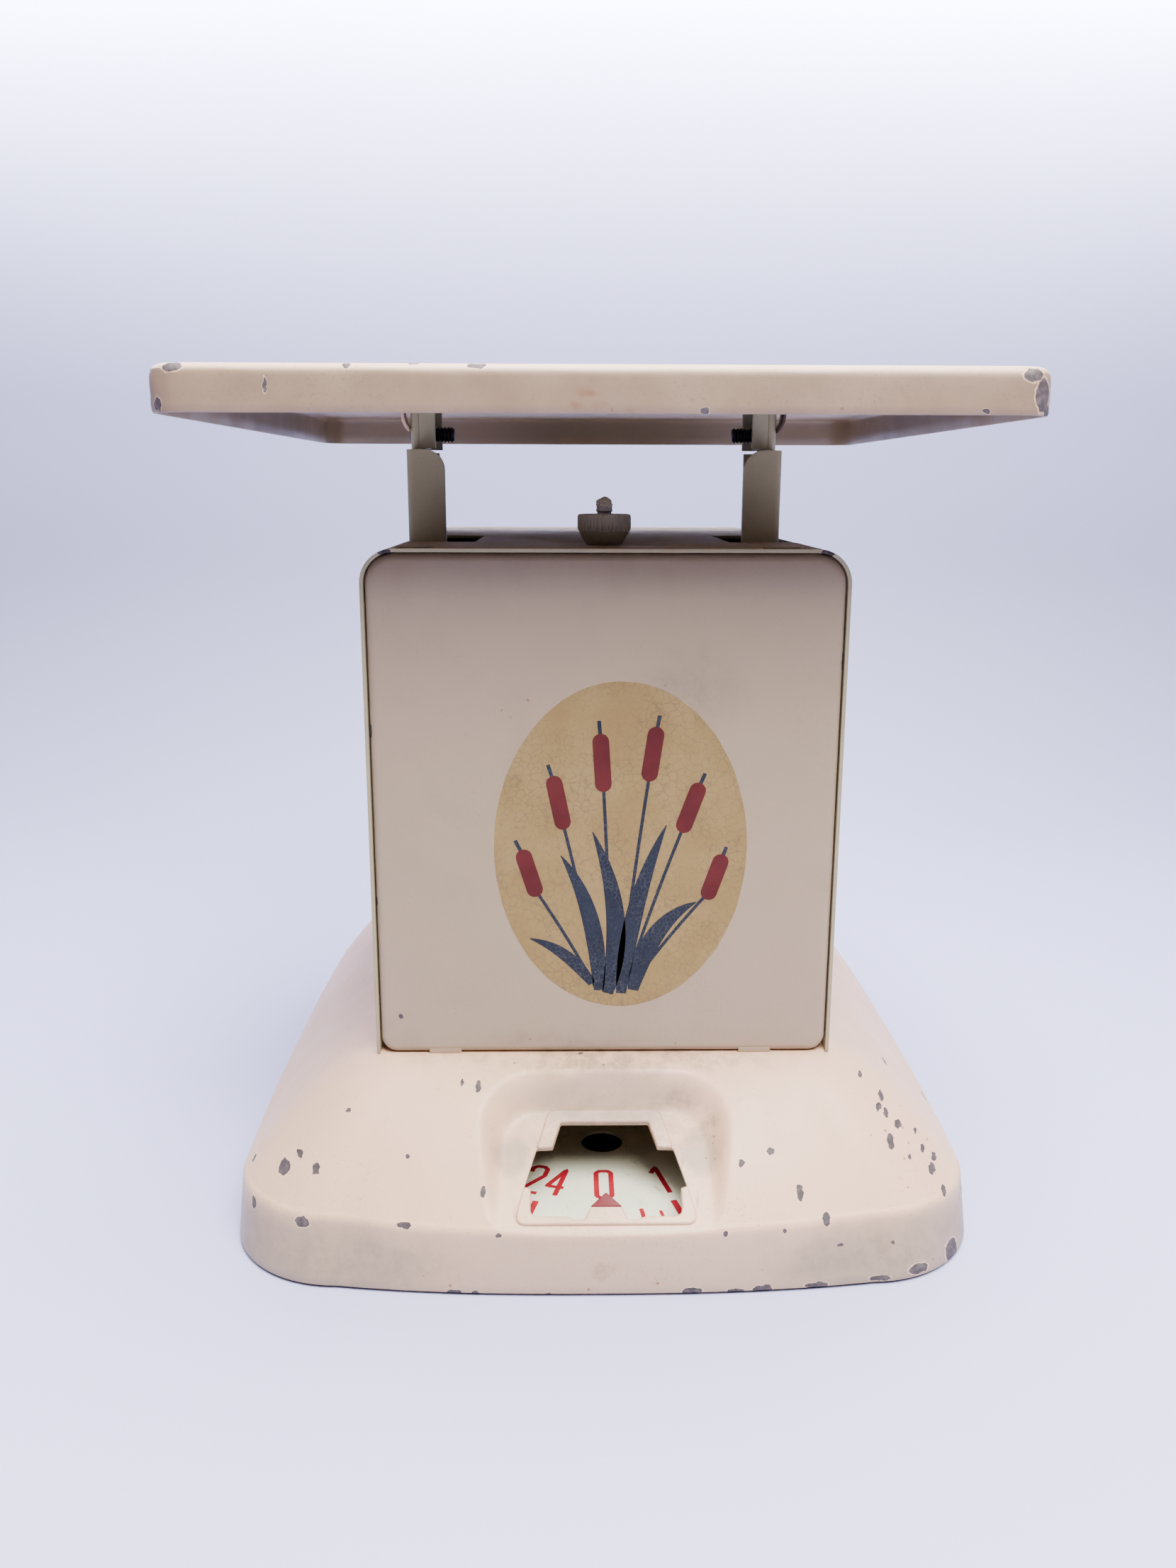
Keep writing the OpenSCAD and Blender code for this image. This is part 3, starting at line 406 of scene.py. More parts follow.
def eased(obj, width, segments, angle=30):
    """Rounds over an object's edges that are sharper than an angle."""
    ease = to_scene(obj).modifiers.new("ease", "BEVEL")
    ease.width = width
    ease.segments = segments
    ease.limit_method = "ANGLE"
    ease.angle_limit = math.radians(angle)
    return baked(obj, 40)


def pressed(obj, thickness):
    """Gives a surface the thickness of sheet metal, on its inner side."""
    sheet = obj.modifiers.new("sheet", "SOLIDIFY")
    sheet.thickness = thickness
    sheet.offset = -1
    baked(obj, 40)


def rings_to_faces(count, size, first_cap=False, last_cap=False):
    """Quads between count closed rings of size points each, with optional end faces."""
    faces = [(r * size + i, r * size + (i + 1) % size,
              (r + 1) * size + (i + 1) % size, (r + 1) * size + i)
             for r in range(count - 1) for i in range(size)]
    if first_cap:
        faces.append(tuple(range(size))[::-1])
    if last_cap:
        faces.append(tuple((count - 1) * size + i for i in range(size)))
    return faces


def prism(name, outline, low, high, matrix=Matrix.Identity(4)):
    """Solid from a closed outline in X and Y between two heights, placed by a matrix."""
    size = len(outline)
    points = [matrix @ Vector((x, y, z)) for z in (low, high) for x, y in outline]
    return new_mesh(name, points, rings_to_faces(2, size, True, True), 20)


def in_mm(points):
    return [(x * MM, y * MM) for x, y in points]


def rounded(outline, radii):
    """Rounds an outline's corners, by one radius or each by its own."""
    steps = 6
    result = []
    count = len(outline)
    for i, corner in enumerate(outline):
        corner = Vector(corner)
        before = (Vector(outline[i - 1]) - corner).normalized()
        after = (Vector(outline[(i + 1) % count]) - corner).normalized()
        r = radii[i] if isinstance(radii, (list, tuple)) else radii
        angle = before.angle(after)
        if r <= 0 or angle > math.pi - 0.01:
            result.append(corner)
            continue
        reach = r / math.tan(angle / 2)
        start = corner + before * reach
        end = corner + after * reach
        for k in range(steps + 1):
            t = k / steps
            result.append(start * (1 - t) ** 2 + corner * 2 * t * (1 - t) + end * t * t)
    return result


def drawn(name, lines, matrix, angle, **settings):
    """Mesh of a curve through lines, which are points and whether they close, then placed."""
    curve = bpy.data.curves.new(name, "CURVE")
    for key, value in settings.items():
        setattr(curve, key, value)
    for points, closed in lines:
        line = curve.splines.new("POLY")
        line.points.add(len(points) - 1)
        for point, place in zip(line.points, points):
            point.co = (place[0], place[1], 0, 1)
        line.use_cyclic_u = closed
    obj = baked(bpy.data.objects.new(name, curve), angle)
    obj.data.transform(matrix)
    obj.name = name
    return obj


def plate(name, outline, thick, bevel, matrix):
    """Flat plate with eased edges, placed by a matrix."""
    return drawn(name, [(outline, True)], matrix, 35, dimensions="2D", fill_mode="BOTH",
                 extrude=thick / 2 - bevel, bevel_depth=bevel, bevel_resolution=3, offset=-bevel)


def strip(name, low, high, r, thick, bevel, matrix, material):
    """Small painted plate between two corners. All its sizes are in mm."""
    outline = rounded(in_mm([low, (high[0], low[1]), high, (low[0], high[1])]), r * MM)
    link(plate(name, outline, thick * MM, bevel * MM, matrix), material)


INK = 0.06 * MM


def kept_width(points, closed, width):
    """Adds points beside sharp corners, so that a drawn line keeps its width up to them."""
    points = [Vector((p[0], p[1])) for p in points]
    result = []
    for i, p in enumerate(points):
        inner = closed or 0 < i < len(points) - 1
        if not inner:
            result.append(p)
            continue
        before, after = points[i - 1] - p, points[(i + 1) % len(points)] - p
        if before.angle(after) > math.radians(150):
            result.append(p)
            continue
        for way in (before, None, after):
            reach = min(0.5 * width, 0.4 * way.length) if way else 0
            result.append(p + way.normalized() * reach if way else p)
    return result


def stroke(name, lines, width, matrix):
    """Drawn lines of one width: each line is a list of points and whether it closes."""
    lines = [(kept_width(points, closed, width), closed) for points, closed in lines]
    flat = Matrix.Diagonal((1, 1, INK / width, 1))
    return drawn(name, lines, matrix @ flat, 60, dimensions="3D", bevel_depth=width / 2,
                 bevel_resolution=2, use_fill_caps=True)


def joined(name, parts):
    """One object from several, all in the same frame."""
    bm = bmesh.new()
    for part in parts:
        bm.from_mesh(part.data)
        bpy.data.objects.remove(part)
    mesh = bpy.data.meshes.new(name)
    bm.to_mesh(mesh)
    bm.free()
    smooth(mesh, 35)
    return bpy.data.objects.new(name, mesh)


def eased_copy(node, name, bevel):
    """A copy of a CAD node with its sharp edges rounded over."""
    mesh = nodes[node].data.copy()
    bm = bmesh.new()
    bm.from_mesh(mesh)
    bmesh.ops.remove_doubles(bm, verts=bm.verts, dist=2e-6)
    bmesh.ops.dissolve_limit(bm, angle_limit=math.radians(1), verts=bm.verts, edges=bm.edges)
    bm.to_mesh(mesh)
    bm.free()
    return eased(bpy.data.objects.new(name, mesh), bevel, 3)


def lathe(name, profile, centre, axis):
    """Turned solid: profile points are radius and distance along the axis, end to end."""
    sides = 40
    points = []
    for r, h in profile:
        for i in range(sides):
            a = 2 * math.pi * i / sides
            p = Vector((r * math.cos(a), r * math.sin(a), h))
            if axis == "X":
                p = Vector((p.z, p.x, p.y))
            points.append(p + centre)
    return new_mesh(name, points, rings_to_faces(len(profile), sides, True, True), 25)


# ---------------------------------------------------------------- camera, floor and light
def make_camera():
    """Stands in front at the tray's height, looking down a little."""
    data = bpy.data.cameras.new("camera")
    data.sensor_width = 36
    data.lens = 28.83
    data.clip_start = 0.01
    camera = bpy.data.objects.new("camera", data)
    camera.location = (-0.0104, -0.4271, 0.2166)
    turn = Matrix.Rotation(math.radians(-0.93), 4, "Z")
    tilt = Matrix.Rotation(math.radians(90 - 13.37), 4, "X")
    roll = Matrix.Rotation(math.radians(0.17), 4, "Z")
    camera.rotation_euler = (turn @ tilt @ roll).to_euler()
    bpy.context.scene.camera = to_scene(camera)


def make_floor():
    """Floor that sweeps up into a backdrop close behind the object."""
    reach = 6.0
    back = 0.33
    bend = 0.28
    top = 2.4
    outline = [(-reach, 0.0), (back, 0.0)]
    for k in range(1, 25):
        a = k / 24 * math.pi / 2
        outline.append((back + bend * math.sin(a), bend * (1 - math.cos(a))))
    outline.append((back + bend, top))
    points = [(x, y, z) for y, z in outline for x in (-reach, reach)]
    faces = [(2 * i, 2 * i + 1, 2 * i + 3, 2 * i + 2) for i in range(len(outline) - 1)]
    floor = to_scene(new_mesh("studio_floor", points, faces, 60))
    paint(floor, ground("studio_ground"))


def area_light(name, place, target, size, energy, spread, colour=(1, 0.985, 0.97)):
    """Rectangular lamp that looks at a target, a little warm unless it has its own colour."""
    data = bpy.data.lights.new(name, "AREA")
    data.spread = math.radians(spread)
    data.shape = "RECTANGLE"
    data.size, data.size_y = size
    data.energy = energy
    data.color = colour
    light = bpy.data.objects.new(name, data)
    light.location = place
    aim = Vector(target) - Vector(place)
    light.rotation_euler = aim.to_track_quat("-Z", "Y").to_euler()
    to_scene(light)


def make_light():
    world = bpy.data.worlds.new("studio")
    world.use_nodes = True
    sky = world.node_tree.nodes["Background"]
    sky.inputs["Color"].default_value = (0.80, 0.82, 1.0, 1)
    sky.inputs["Strength"].default_value = 0.12
    bpy.context.scene.world = world
    area_light("key", (0.22, -0.54, 0.81), (0, -0.10, 0.06), (0.5, 0.35), 13, 150)
    area_light("overhead", (0.05, -0.12, 1.0), (0, -0.12, 0), (1.0, 0.5), 10, 84)
    area_light("ceiling", (0, 0, 3.2), (0, 0, 0), (8, 8), 330, 110)
    area_light("backdrop", (0, 0.44, 0.75), (0, 0.61, 0.70), (1.3, 0.06), 70, 120, (0.97, 0.97, 1))


# ---------------------------------------------------------------- base shell
CORNER_R = 34 * MM
DECK_R = 11 * MM
LEDGE = 2 * MM
DOME_SIDE = BASE_HIGH.x - TOWER_HIGH.x - LEDGE
DOME_FRONT = TOWER_LOW.y - BASE_LOW.y - LEDGE
DOME_BACK = BASE_HIGH.y - TOWER_HIGH.y - LEDGE
SIDE_BOW = 1.8 * MM
RIM_BOW = 4.4 * MM
CREASE_BOW = 8.2 * MM
BOW_POWER = 2.5


def base_outline_steps():
    """Where the base's points lie round it: side of the outline and share along it."""
    steps = [("front", t) for t in np.concatenate([
        np.linspace(0, 0.2, 12, endpoint=False), np.linspace(0.2, 0.8, 120, endpoint=False),
        np.linspace(0.8, 1, 12, endpoint=False)])]
    for name, count in (("arc0", 22), ("right", 60), ("arc1", 22), ("back", 50),
                        ("arc2", 22), ("left", 60), ("arc3", 22)):
        steps += [(name, t) for t in np.linspace(0, 1, count, endpoint=False)]
    return steps


def base_point(part, t, share, bow, inward=0.0):
    """Point on the base's plan at one level: bowed edges between round corners."""
    r = max(CORNER_R + (DECK_R - CORNER_R) * share - inward, 2 * MM)
    half = BASE_HIGH.x - DOME_SIDE * share - inward
    front = BASE_LOW.y + DOME_FRONT * share + inward
    back = BASE_HIGH.y - DOME_BACK * share - inward
    bow_x = SIDE_BOW * (1 - share)
    x = half - bow_x - r
    y0, y1 = front + bow + r, back - bow - r
    along = 2 * t - 1
    curve = abs(along) ** BOW_POWER
    if part == "front":
        return (x * along, front + bow * curve)
    if part == "right":
        return (half - bow_x * curve, (y0 + y1) / 2 + (y1 - y0) / 2 * along)
    if part == "back":
        return (-x * along, back - bow * curve)
    if part == "left":
        return (bow_x * curve - half, (y0 + y1) / 2 - (y1 - y0) / 2 * along)
    quarter = int(part[-1])
    cx, cy = [(x, y0), (x, y1), (-x, y1), (-x, y0)][quarter]
    a = math.radians(-90 + 90 * quarter + 90 * t)
    return (cx + r * math.cos(a), cy + r * math.sin(a))


def base_levels():
    """Share of the way in to the deck, height and bow of each ring, from the rim up."""
    rim = BASE_LOW.z + 0.5 * MM
    crease = SKIRT_TOP - 1.2 * MM
    bend_top = SKIRT_TOP + 0.8 * MM
    levels = [(0.003, BASE_LOW.z, RIM_BOW), (0.0, rim, RIM_BOW)]
    for t in np.linspace(0.125, 1, 8):
        levels.append((0.022 * t, rim + t * (crease - rim), RIM_BOW + (CREASE_BOW - RIM_BOW) * t))
    for t in np.linspace(0.25, 1, 4):
        height = crease + (bend_top - crease) * (1 - (1 - t) ** 1.6)
        levels.append((0.022 + 0.026 * t, height, CREASE_BOW))
    for u in np.linspace(1 / 74, 1, 74):
        rise = 1.5 * u - 0.5 * u * u
        levels.append((0.048 + 0.952 * u, bend_top + (DECK_Z - bend_top) * rise,
                       CREASE_BOW * (1 - u) ** 1.1))
    return levels


def smooth_min(a, b, k):
    h = np.clip(0.5 + 0.5 * (b - a) / k, 0, 1)
    return b * (1 - h) + a * h - k * h * (1 - h)


WELL_HALF = 30.9 * MM
WELL_BACK = BASE_LOW.y + 30.8 * MM
WELL_CORNER = 10 * MM


def well_height(x, y):
    """Height of the recess around the window: a sloping floor with soft walls."""
    floor = WINDOW_FOOT.z + math.tan(WINDOW_TILT) * (y - WINDOW_FOOT.y)
    half = WELL_HALF - 0.04 * (y - BASE_LOW.y)
    across = abs(x) - (half - WELL_CORNER)
    behind = y - (WELL_BACK - WELL_CORNER)
    a, b = max(across, 0.0), max(behind, 0.0)
    reach = math.hypot(a, b)
    past = reach - WELL_CORNER if reach > 0 else max(across, behind) - WELL_CORNER
    slope = 1.5 + (0.9 * (b / reach) ** 2 if reach > 0 else 0)
    return floor - smooth_min(-slope * past, 0.0, 2.6 * MM)


WINDOW_SIDE = [(0, 11.3), (4.5, 7.6), (5.9, 4.4), (8.4, 4.2), (10.8, 5.2), (20.9, 5.2),
               (20.9, 13.1), (22.9, 13.5), (19.5, 24.9), (14.9, 25.1), (12.6, 32.7)]
WINDOW_EASE = [0.4, 0.8, 0.8, 1.2, 1.0, 2.4, 0.6, 0.4, 0.4, 0.6, 0.8]
RIB_LOW = [(25.5, 2.9), (22.9, 13.7)]
RIB_HIGH = [(19.5, 24.7), (16.2, 36.7)]


def mirrored(side, ease):
    """Closed outline from its right half and the radii of that half's corners."""
    middle = 1 if side[0][0] == 0 else 0
    left = [(-x, y) for x, y in side[::-1][:len(side) - middle]]
    return rounded(in_mm(side + left), [r * MM for r in ease + ease[::-1][:len(ease) - middle]])


def on_window(lift=0.0):
    turn = Matrix.Rotation(WINDOW_TILT, 4, "X")
    return Matrix.Translation(WINDOW_FOOT) @ turn @ Matrix.Translation((0, 0, lift))


def make_base(material):
    steps = base_outline_steps()
    levels = base_levels()
    points = []
    for share, z, bow in levels:
        for part, t in steps:
            x, y = base_point(part, t, share, bow)
            height = z
            if part == "front" and z > WINDOW_FOOT.z - 2 * MM:
                soft = 2.6 * MM if z > 22 * MM else 0.8 * MM
                height = smooth_min(z, well_height(x, y), soft)
            points.append((x, y, height))
    # The deck runs in under the tower to the opening
    for inward in (3 * MM, 8 * MM, 13 * MM):
        points += [(*base_point(part, t, 1.0, 0.0, inward), DECK_Z) for part, t in steps]
    obj = new_mesh("base_casing", points, rings_to_faces(len(levels) + 3, len(steps)), 40)
    pressed(obj, SHEET)
    cutter = prism("window_cut", mirrored(WINDOW_SIDE, WINDOW_EASE), -5 * MM, 6 * MM, on_window())
    cut_away(obj, cutter, 40)
    link(obj, material, stands_for=["base_shell"])


def make_window_ribs(material):
    """Raised soft rim round the window, in a lower and an upper part."""
    foot = mirrored(WINDOW_SIDE[:7] + RIB_LOW[::-1], WINDOW_EASE[:6] + [0.5, 0.6, 3.0])
    side = [WINDOW_SIDE[10], WINDOW_SIDE[9], RIB_HIGH[0], RIB_HIGH[1]]
    head = mirrored(side, [0.8, 0.9, 0.9, 3.2])
    for name, outline in (("window_rib_lower", foot), ("window_rib_upper", head)):
        link(plate(name, outline, 2.2 * MM, 0.55 * MM, on_window(-0.1 * MM)), material)


def make_pointer(material):
    """Red paint on the pointer's tip."""
    outline = rounded(in_mm([(0, 11.8), (4.4, 7.7), (-4.4, 7.7)]), [0.5 * MM, 0.2 * MM, 0.2 * MM])
    link(plate("pointer_tip", outline, 1.0 * MM, 0.2 * MM, on_window(0.82 * MM)), material)


# ---------------------------------------------------------------- tower
def arch_outline(inset, top_r, foot_r, low_z, high_z, half):
    """Rounded outline in X and Z: large upper corners and small lower ones."""
    steps = 10
    left, right = -half + inset, half - inset
    low, high = low_z + inset, high_z - inset
    corners = [(right, low), (right, high), (left, high), (left, low)]
    foot = max(foot_r - inset, 0.3 * MM)
    top = max(top_r - inset, 0.3 * MM)
    points = []
    spans = [(foot, 270), (top, 0), (top, 90), (foot, 180)]
    for (cx, cz), (r, start) in zip(corners, spans):
        mx = cx - math.copysign(r, cx)
        mz = cz + r if cz == low else cz - r
        for k in range(steps + 1):
            a = math.radians(start + 90 * k / steps)
            points.append((mx + r * math.cos(a), mz + r * math.sin(a)))
    return points


PANEL_TOP_R = 8.2 * MM
PANEL_FOOT_R = 5 * MM
PANEL_EASE = 2.4 * MM


def make_panel(name, node, material, front):
    """Shallow pan: a flat face with soft edges and a flange turned back into the tower."""
    low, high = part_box(node)
    face = low.y if front else high.y
    into = 1 if front else -1
    half = high.x

    def ring(inset, deep, grow=0.0):
        outline = arch_outline(inset, PANEL_TOP_R + grow, PANEL_FOOT_R + grow, low.z, high.z, half)
        return [(x, face + into * deep, z) for x, z in outline]

    flat = [PANEL_EASE + share * (half - PANEL_EASE - MM)
            for share in (0.97, 0.8, 0.55, 0.3, 0.12)]
    rings = [ring(inset, 0.0, inset * 0.3) for inset in flat]
    for k in range(9):
        a = math.pi / 2 * k / 8
        rings.append(ring(PANEL_EASE * (1 - math.sin(a)), PANEL_EASE * (1 - math.cos(a))))
    rings.append(ring(0, high.y - low.y))
    points = [p for ring_points in rings for p in ring_points]
    obj = new_mesh(name, points, rings_to_faces(len(rings), len(rings[0]), True), 40)
    pressed(obj, 0.9 * MM)
    link(obj, material, stands_for=[node])


def make_panel_tabs(material):
    """Ends of the front panel's lower tabs, which hook into the deck."""
    stand = Matrix.Translation((0, FACE_Y + 0.75 * MM, 0)) @ UPRIGHT
    for name, x0, x1 in (("panel_tab_left", -51.5, -42), ("panel_tab_right", 40, 49.5)):
        strip(name, (x0, 52.9), (x1, 56), 0.6, 1.1, 0.3, stand, material)


def make_hooks(material):
    """Front panel's upper hooks, which lie on the tower's top in front of the posts."""
    lie = Matrix.Translation((0, 0, TOWER_HIGH.z + 0.1 * MM))
    for name, x in (("panel_hook_left", -52), ("panel_hook_right", 48)):
        strip(name, (x - 5, -81.5), (x + 5, -76.5), 0.8, 0.9, 0.25, lie, material)


# ---------------------------------------------------------------- transfer on the front panel
PRINT_X = 4.5 * MM
PRINT_Z = 116 * MM
PRINT_HALF = (36 * MM, 48 * MM)


def on_panel(lift):
    """Drawing plane on the front panel: X to the right and Y up, centred on the transfer."""
    return Matrix.Translation((PRINT_X, FACE_Y - lift, PRINT_Z)) @ UPRIGHT


def leaf(name, spine, width, matrix):
    """Pointed leaf along a curved spine of three control points."""
    a, b, c = (Vector(p) * MM for p in spine)
    left, right = [], []
    count = 22
    for k in range(count + 1):
        t = k / count
        place = a * (1 - t) ** 2 + b * 2 * t * (1 - t) + c * t * t
        along = ((b - a) * (1 - t) + (c - b) * t).normalized()
        swell = math.sin(math.pi * (0.10 + 0.90 * t) ** 0.8) ** 0.75 if t < 1 else 0
        side = Vector((-along.y, along.x)) * max(width * MM / 2 * swell, 0.12 * MM)
        left.append(place + side)
        right.append(place - side)
    return plate(name, left + right[::-1], INK, 0.01 * MM, matrix)


def capsule(start, end, r):
    a, b = Vector(start) * MM, Vector(end) * MM
    turn = math.atan2(b.y - a.y, b.x - a.x)
    points = []
    for centre, first in ((b, -90), (a, 90)):
        for k in range(13):
            angle = turn + math.radians(first + 180 * k / 12)
            points.append(centre + Vector((math.cos(angle), math.sin(angle))) * r * MM)
    return points


def make_transfer(ground_ink, red_ink, dark_ink):
    """Oval transfer with a clump of reeds."""
    oval = []
    for k in range(160):
        a = 2 * math.pi * k / 160
        ragged = 1 + 0.004 * noise.noise(Vector((9 * math.cos(a), 9 * math.sin(a), 3)))
        oval.append((PRINT_HALF[0] * math.cos(a) * ragged, PRINT_HALF[1] * math.sin(a) * ragged))
    link(plate("transfer_ground", oval, 0.08 * MM, 0.02 * MM, on_panel(0.02 * MM)), ground_ink)
    # Foot of each stem, the lower and upper ends of its head, and the end of its spike
    reeds = [((-7.0, -42), (-24.5, -12), (-27.5, -2.5), (-30.0, 2.5)),
             ((-5.5, -42), (-16.5, 8), (-18.8, 19), (-20.6, 24.5)),
             ((-2.0, -42), (-5.0, 19), (-5.8, 31), (-6.3, 37)),
             ((0.0, -42), (8.0, 22), (9.6, 33), (10.6, 38.5)),
             ((1.5, -42), (18.0, 7), (21.6, 17), (23.6, 22)),
             ((6.0, -38), (25.5, -13), (28.6, -4), (30.2, 0.5))]
    stems, heads = [], []
    for k, (foot, low, high, spike) in enumerate(reeds):
        foot, low, high, spike = (Vector(p) * MM for p in (foot, low, high, spike))
        bow = (foot + low) / 2 - Vector((0.06 * (low.x - foot.x), 0))
        path = [foot * (1 - t) ** 2 + bow * 2 * t * (1 - t) + low * t * t
                for t in np.linspace(0, 1, 14)]
        stems.append(stroke(f"stem_{k}", [(path, False)], 0.95 * MM, on_panel(0.08 * MM)))
        stems.append(stroke(f"spike_{k}", [([high, spike], False)], 1.1 * MM, on_panel(0.08 * MM)))
        outline = capsule(low / MM, high / MM, 2.35)
        heads.append(plate(f"head_{k}", outline, 0.08 * MM, 0.02 * MM, on_panel(0.10 * MM)))
    leaves = [((-6, -43), (-6, -18), (-17, -2), 5.0), ((-3.5, -44), (3, -20), (-8, 5), 5.6),
              ((0.5, -44), (3, -15), (13, 7), 5.0), ((4, -43), (8, -22), (22, -16), 5.4),
              ((-8, -41), (-15, -30), (-26, -27), 3.6)]
    for k, (a, b, c, width) in enumerate(leaves):
        stems.append(leaf(f"leaf_{k}", (a, b, c), width, on_panel(0.09 * MM)))
    link(joined("transfer_leaves", stems), dark_ink)
    link(joined("transfer_heads", heads), red_ink)


# ---------------------------------------------------------------- tray
def make_tray(material, inside):
    """Pressed tray: flat top, eased edge, rim turned down with a rolled lip."""
    half_x = (TRAY_HIGH.x - TRAY_LOW.x) / 2
    half_y = (TRAY_HIGH.y - TRAY_LOW.y) / 2
    edge = 3 * MM
    thick = SHEET
    rim = TRAY_HIGH.z - TRAY_LOW.z
    flat = (14 * MM, half_x * 0.4, half_x * 0.75, half_x * 0.98)
    profile = [(inset, 0.0) for inset in flat[::-1]]
    profile += [(edge + 0.6 * MM, 0.0)]
    profile += [(edge * (1 - math.sin(a)), edge * (1 - math.cos(a)))
                for a in np.linspace(0, math.pi / 2, 9)]
    profile += [(0.0, edge + (rim - edge) * t) for t in (0.25, 0.5, 0.75, 0.93)]
    profile += [(0.25 * MM, rim), (thick - 0.25 * MM, rim)]
    profile += [(thick, rim - 0.4 * MM), (thick, rim * 0.7), (thick, edge + 0.5 * MM)]
    inner = edge - thick
    profile += [(thick + inner * (1 - math.cos(a)), thick + inner * (1 - math.sin(a)))
                for a in np.linspace(0.25, math.pi / 2, 6)]
    profile += [(inset, thick) for inset in flat]
    points = []
    size = 0
    for inset, drop in profile:
        ring = tray_ring(half_x - inset, half_y - inset, max(9 * MM - inset, 0.4 * MM))
        size = len(ring)
        for x, y in ring:
            # The rim is a little wavy, and knocked about at its left end
            shake = 0.0
            if drop > edge * 0.5:
                knocked = 0.2 * MM + 0.5 * MM * min(max((-x - 78 * MM) / (14 * MM), 0), 1)
                shake = abs(knocked * noise.noise(Vector((x * 90, y * 90, drop * 160))))
            points.append((TRAY_X + x - math.copysign(shake, x) * (abs(x) > half_x - 6 * MM),
                           WEIGH_Y + y - math.copysign(shake, y) * (abs(y) > half_y - 6 * MM),
                           TRAY_HIGH.z - drop))
    obj = new_mesh("tray_pan", points, rings_to_faces(len(profile), size, True, True), 40)
    link(obj, material, "carriage", ["tray"])
    # The underside and inner faces get the dark inside paint: painted shade under the tray, with
    # some dirt
    obj.data.materials.append(inside)
    for face in obj.data.polygons:
        out = Vector((face.center.x - TRAY_X, face.center.y - WEIGH_Y, 0))
        if face.normal.z < -0.5 or face.normal.dot(out) < 0:
            face.material_index = 1


def tray_ring(half_x, half_y, r):
    """Rounded rectangle round the tray's centre, with points along its straight sides too."""
    points = []
    spans = [((-half_x + r, -half_y), (half_x - r, -half_y), -90),
             ((half_x, -half_y + r), (half_x, half_y - r), 0),
             ((half_x - r, half_y), (-half_x + r, half_y), 90),
             ((-half_x, half_y - r), (-half_x, -half_y + r), 180)]
    corners = [(half_x - r, -half_y + r), (half_x - r, half_y - r), (-half_x + r, half_y - r),
               (-half_x + r, -half_y + r)]
    for (a, b, start), (cx, cy) in zip(spans, corners):
        for t in np.linspace(0, 1, 40, endpoint=False):
            points.append((a[0] + (b[0] - a[0]) * t, a[1] + (b[1] - a[1]) * t))
        for k in range(10):
            angle = math.radians(start + 90 * k / 10)
            points.append((cx + r * math.cos(angle), cy + r * math.sin(angle)))
    return points


# ---------------------------------------------------------------- posts and their fixings
POST_SHEET = 1.5 * MM
POST_BEND = 2.2 * MM
POST_CORNER = 6 * MM
REAR_FLANGE = 5.5 * MM
TAB_FLANGE = 2.8 * MM
TAB_HALF = 11 * MM
POST_SHOULDER = POST_HIGH.z - 13.5 * MM


def channel(name, side, outer, fronts, y0, y1, z0, z1):
    """Upright channel with rolled bends: fronts are the widths of its two flanges."""
    bends = [0, POST_BEND, POST_BEND, 0]
    tight = [max(r - POST_SHEET + 0.4 * MM, 0) if r else 0 for r in bends]
    web = outer - side * POST_SHEET
    a, b = (outer - side * width for width in fronts)
    face = rounded([(a, y0), (outer, y0), (outer, y1), (b, y1)], bends)
    back = rounded([(a, y0 + POST_SHEET), (web, y0 + POST_SHEET), (web, y1 - POST_SHEET),
                    (b, y1 - POST_SHEET)], tight)
    return prism(name, [tuple(p) for p in face + back[::-1]], z0, z1)


def make_post(name, node, side, material):
    """Channel with a round inner shoulder, a narrow rear flange and a small channel above."""
    low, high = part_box(node)
    outer, inner = (high.x, low.x) if side > 0 else (low.x, high.x)
    obj = channel(name, side, outer, (abs(outer - inner), REAR_FLANGE), low.y, high.y, low.z,
                  POST_SHOULDER)
    r = POST_CORNER
    arc = [(inner + side * r * (1 - math.cos(a)), POST_SHOULDER - r + r * math.sin(a))
           for a in np.linspace(0, math.pi / 2, 12)]
    corner = [(inner - side * MM, POST_SHOULDER - r)] + arc + [
        (arc[-1][0], POST_SHOULDER + MM), (inner - side * MM, POST_SHOULDER + MM)]
    cut_away(obj, prism("shoulder_cut", corner, -low.y - 4 * MM, -low.y + MM, UPRIGHT))
    tab = channel("tab", side, outer, (TAB_FLANGE, TAB_FLANGE), WEIGH_Y - TAB_HALF,
                  WEIGH_Y + TAB_HALF, POST_SHOULDER - 2 * MM, high.z)
    obj = eased(joined(name, [obj, tab]), 0.3 * MM, 2, 50)
    link(obj, material, "carriage", [node])


def make_curl(name, side, material):
    """Torn edge of the tray's bracket, curled outwards beside the post's tab."""
    outer = POST_HIGH.x if side > 0 else 2 * TRAY_X - POST_HIGH.x
    path = [(0.1, 240.4), (1.9, 240.1), (2.7, 238.4), (2.5, 235.8), (1.5, 233.6), (0.3, 232.4)]
    back = [(0.1, 233.6), (0.9, 234.6), (1.6, 236.2), (1.8, 238.2), (1.2, 239.2), (0.1, 239.4)]
    outline = [(outer + side * x * MM, z * MM) for x, z in path + back]
    front = WEIGH_Y - TAB_HALF - 0.5 * MM
    obj = eased(prism(name, outline, -front - 7 * MM, -front, UPRIGHT), 0.2 * MM, 2)
    link(obj, material, "carriage")


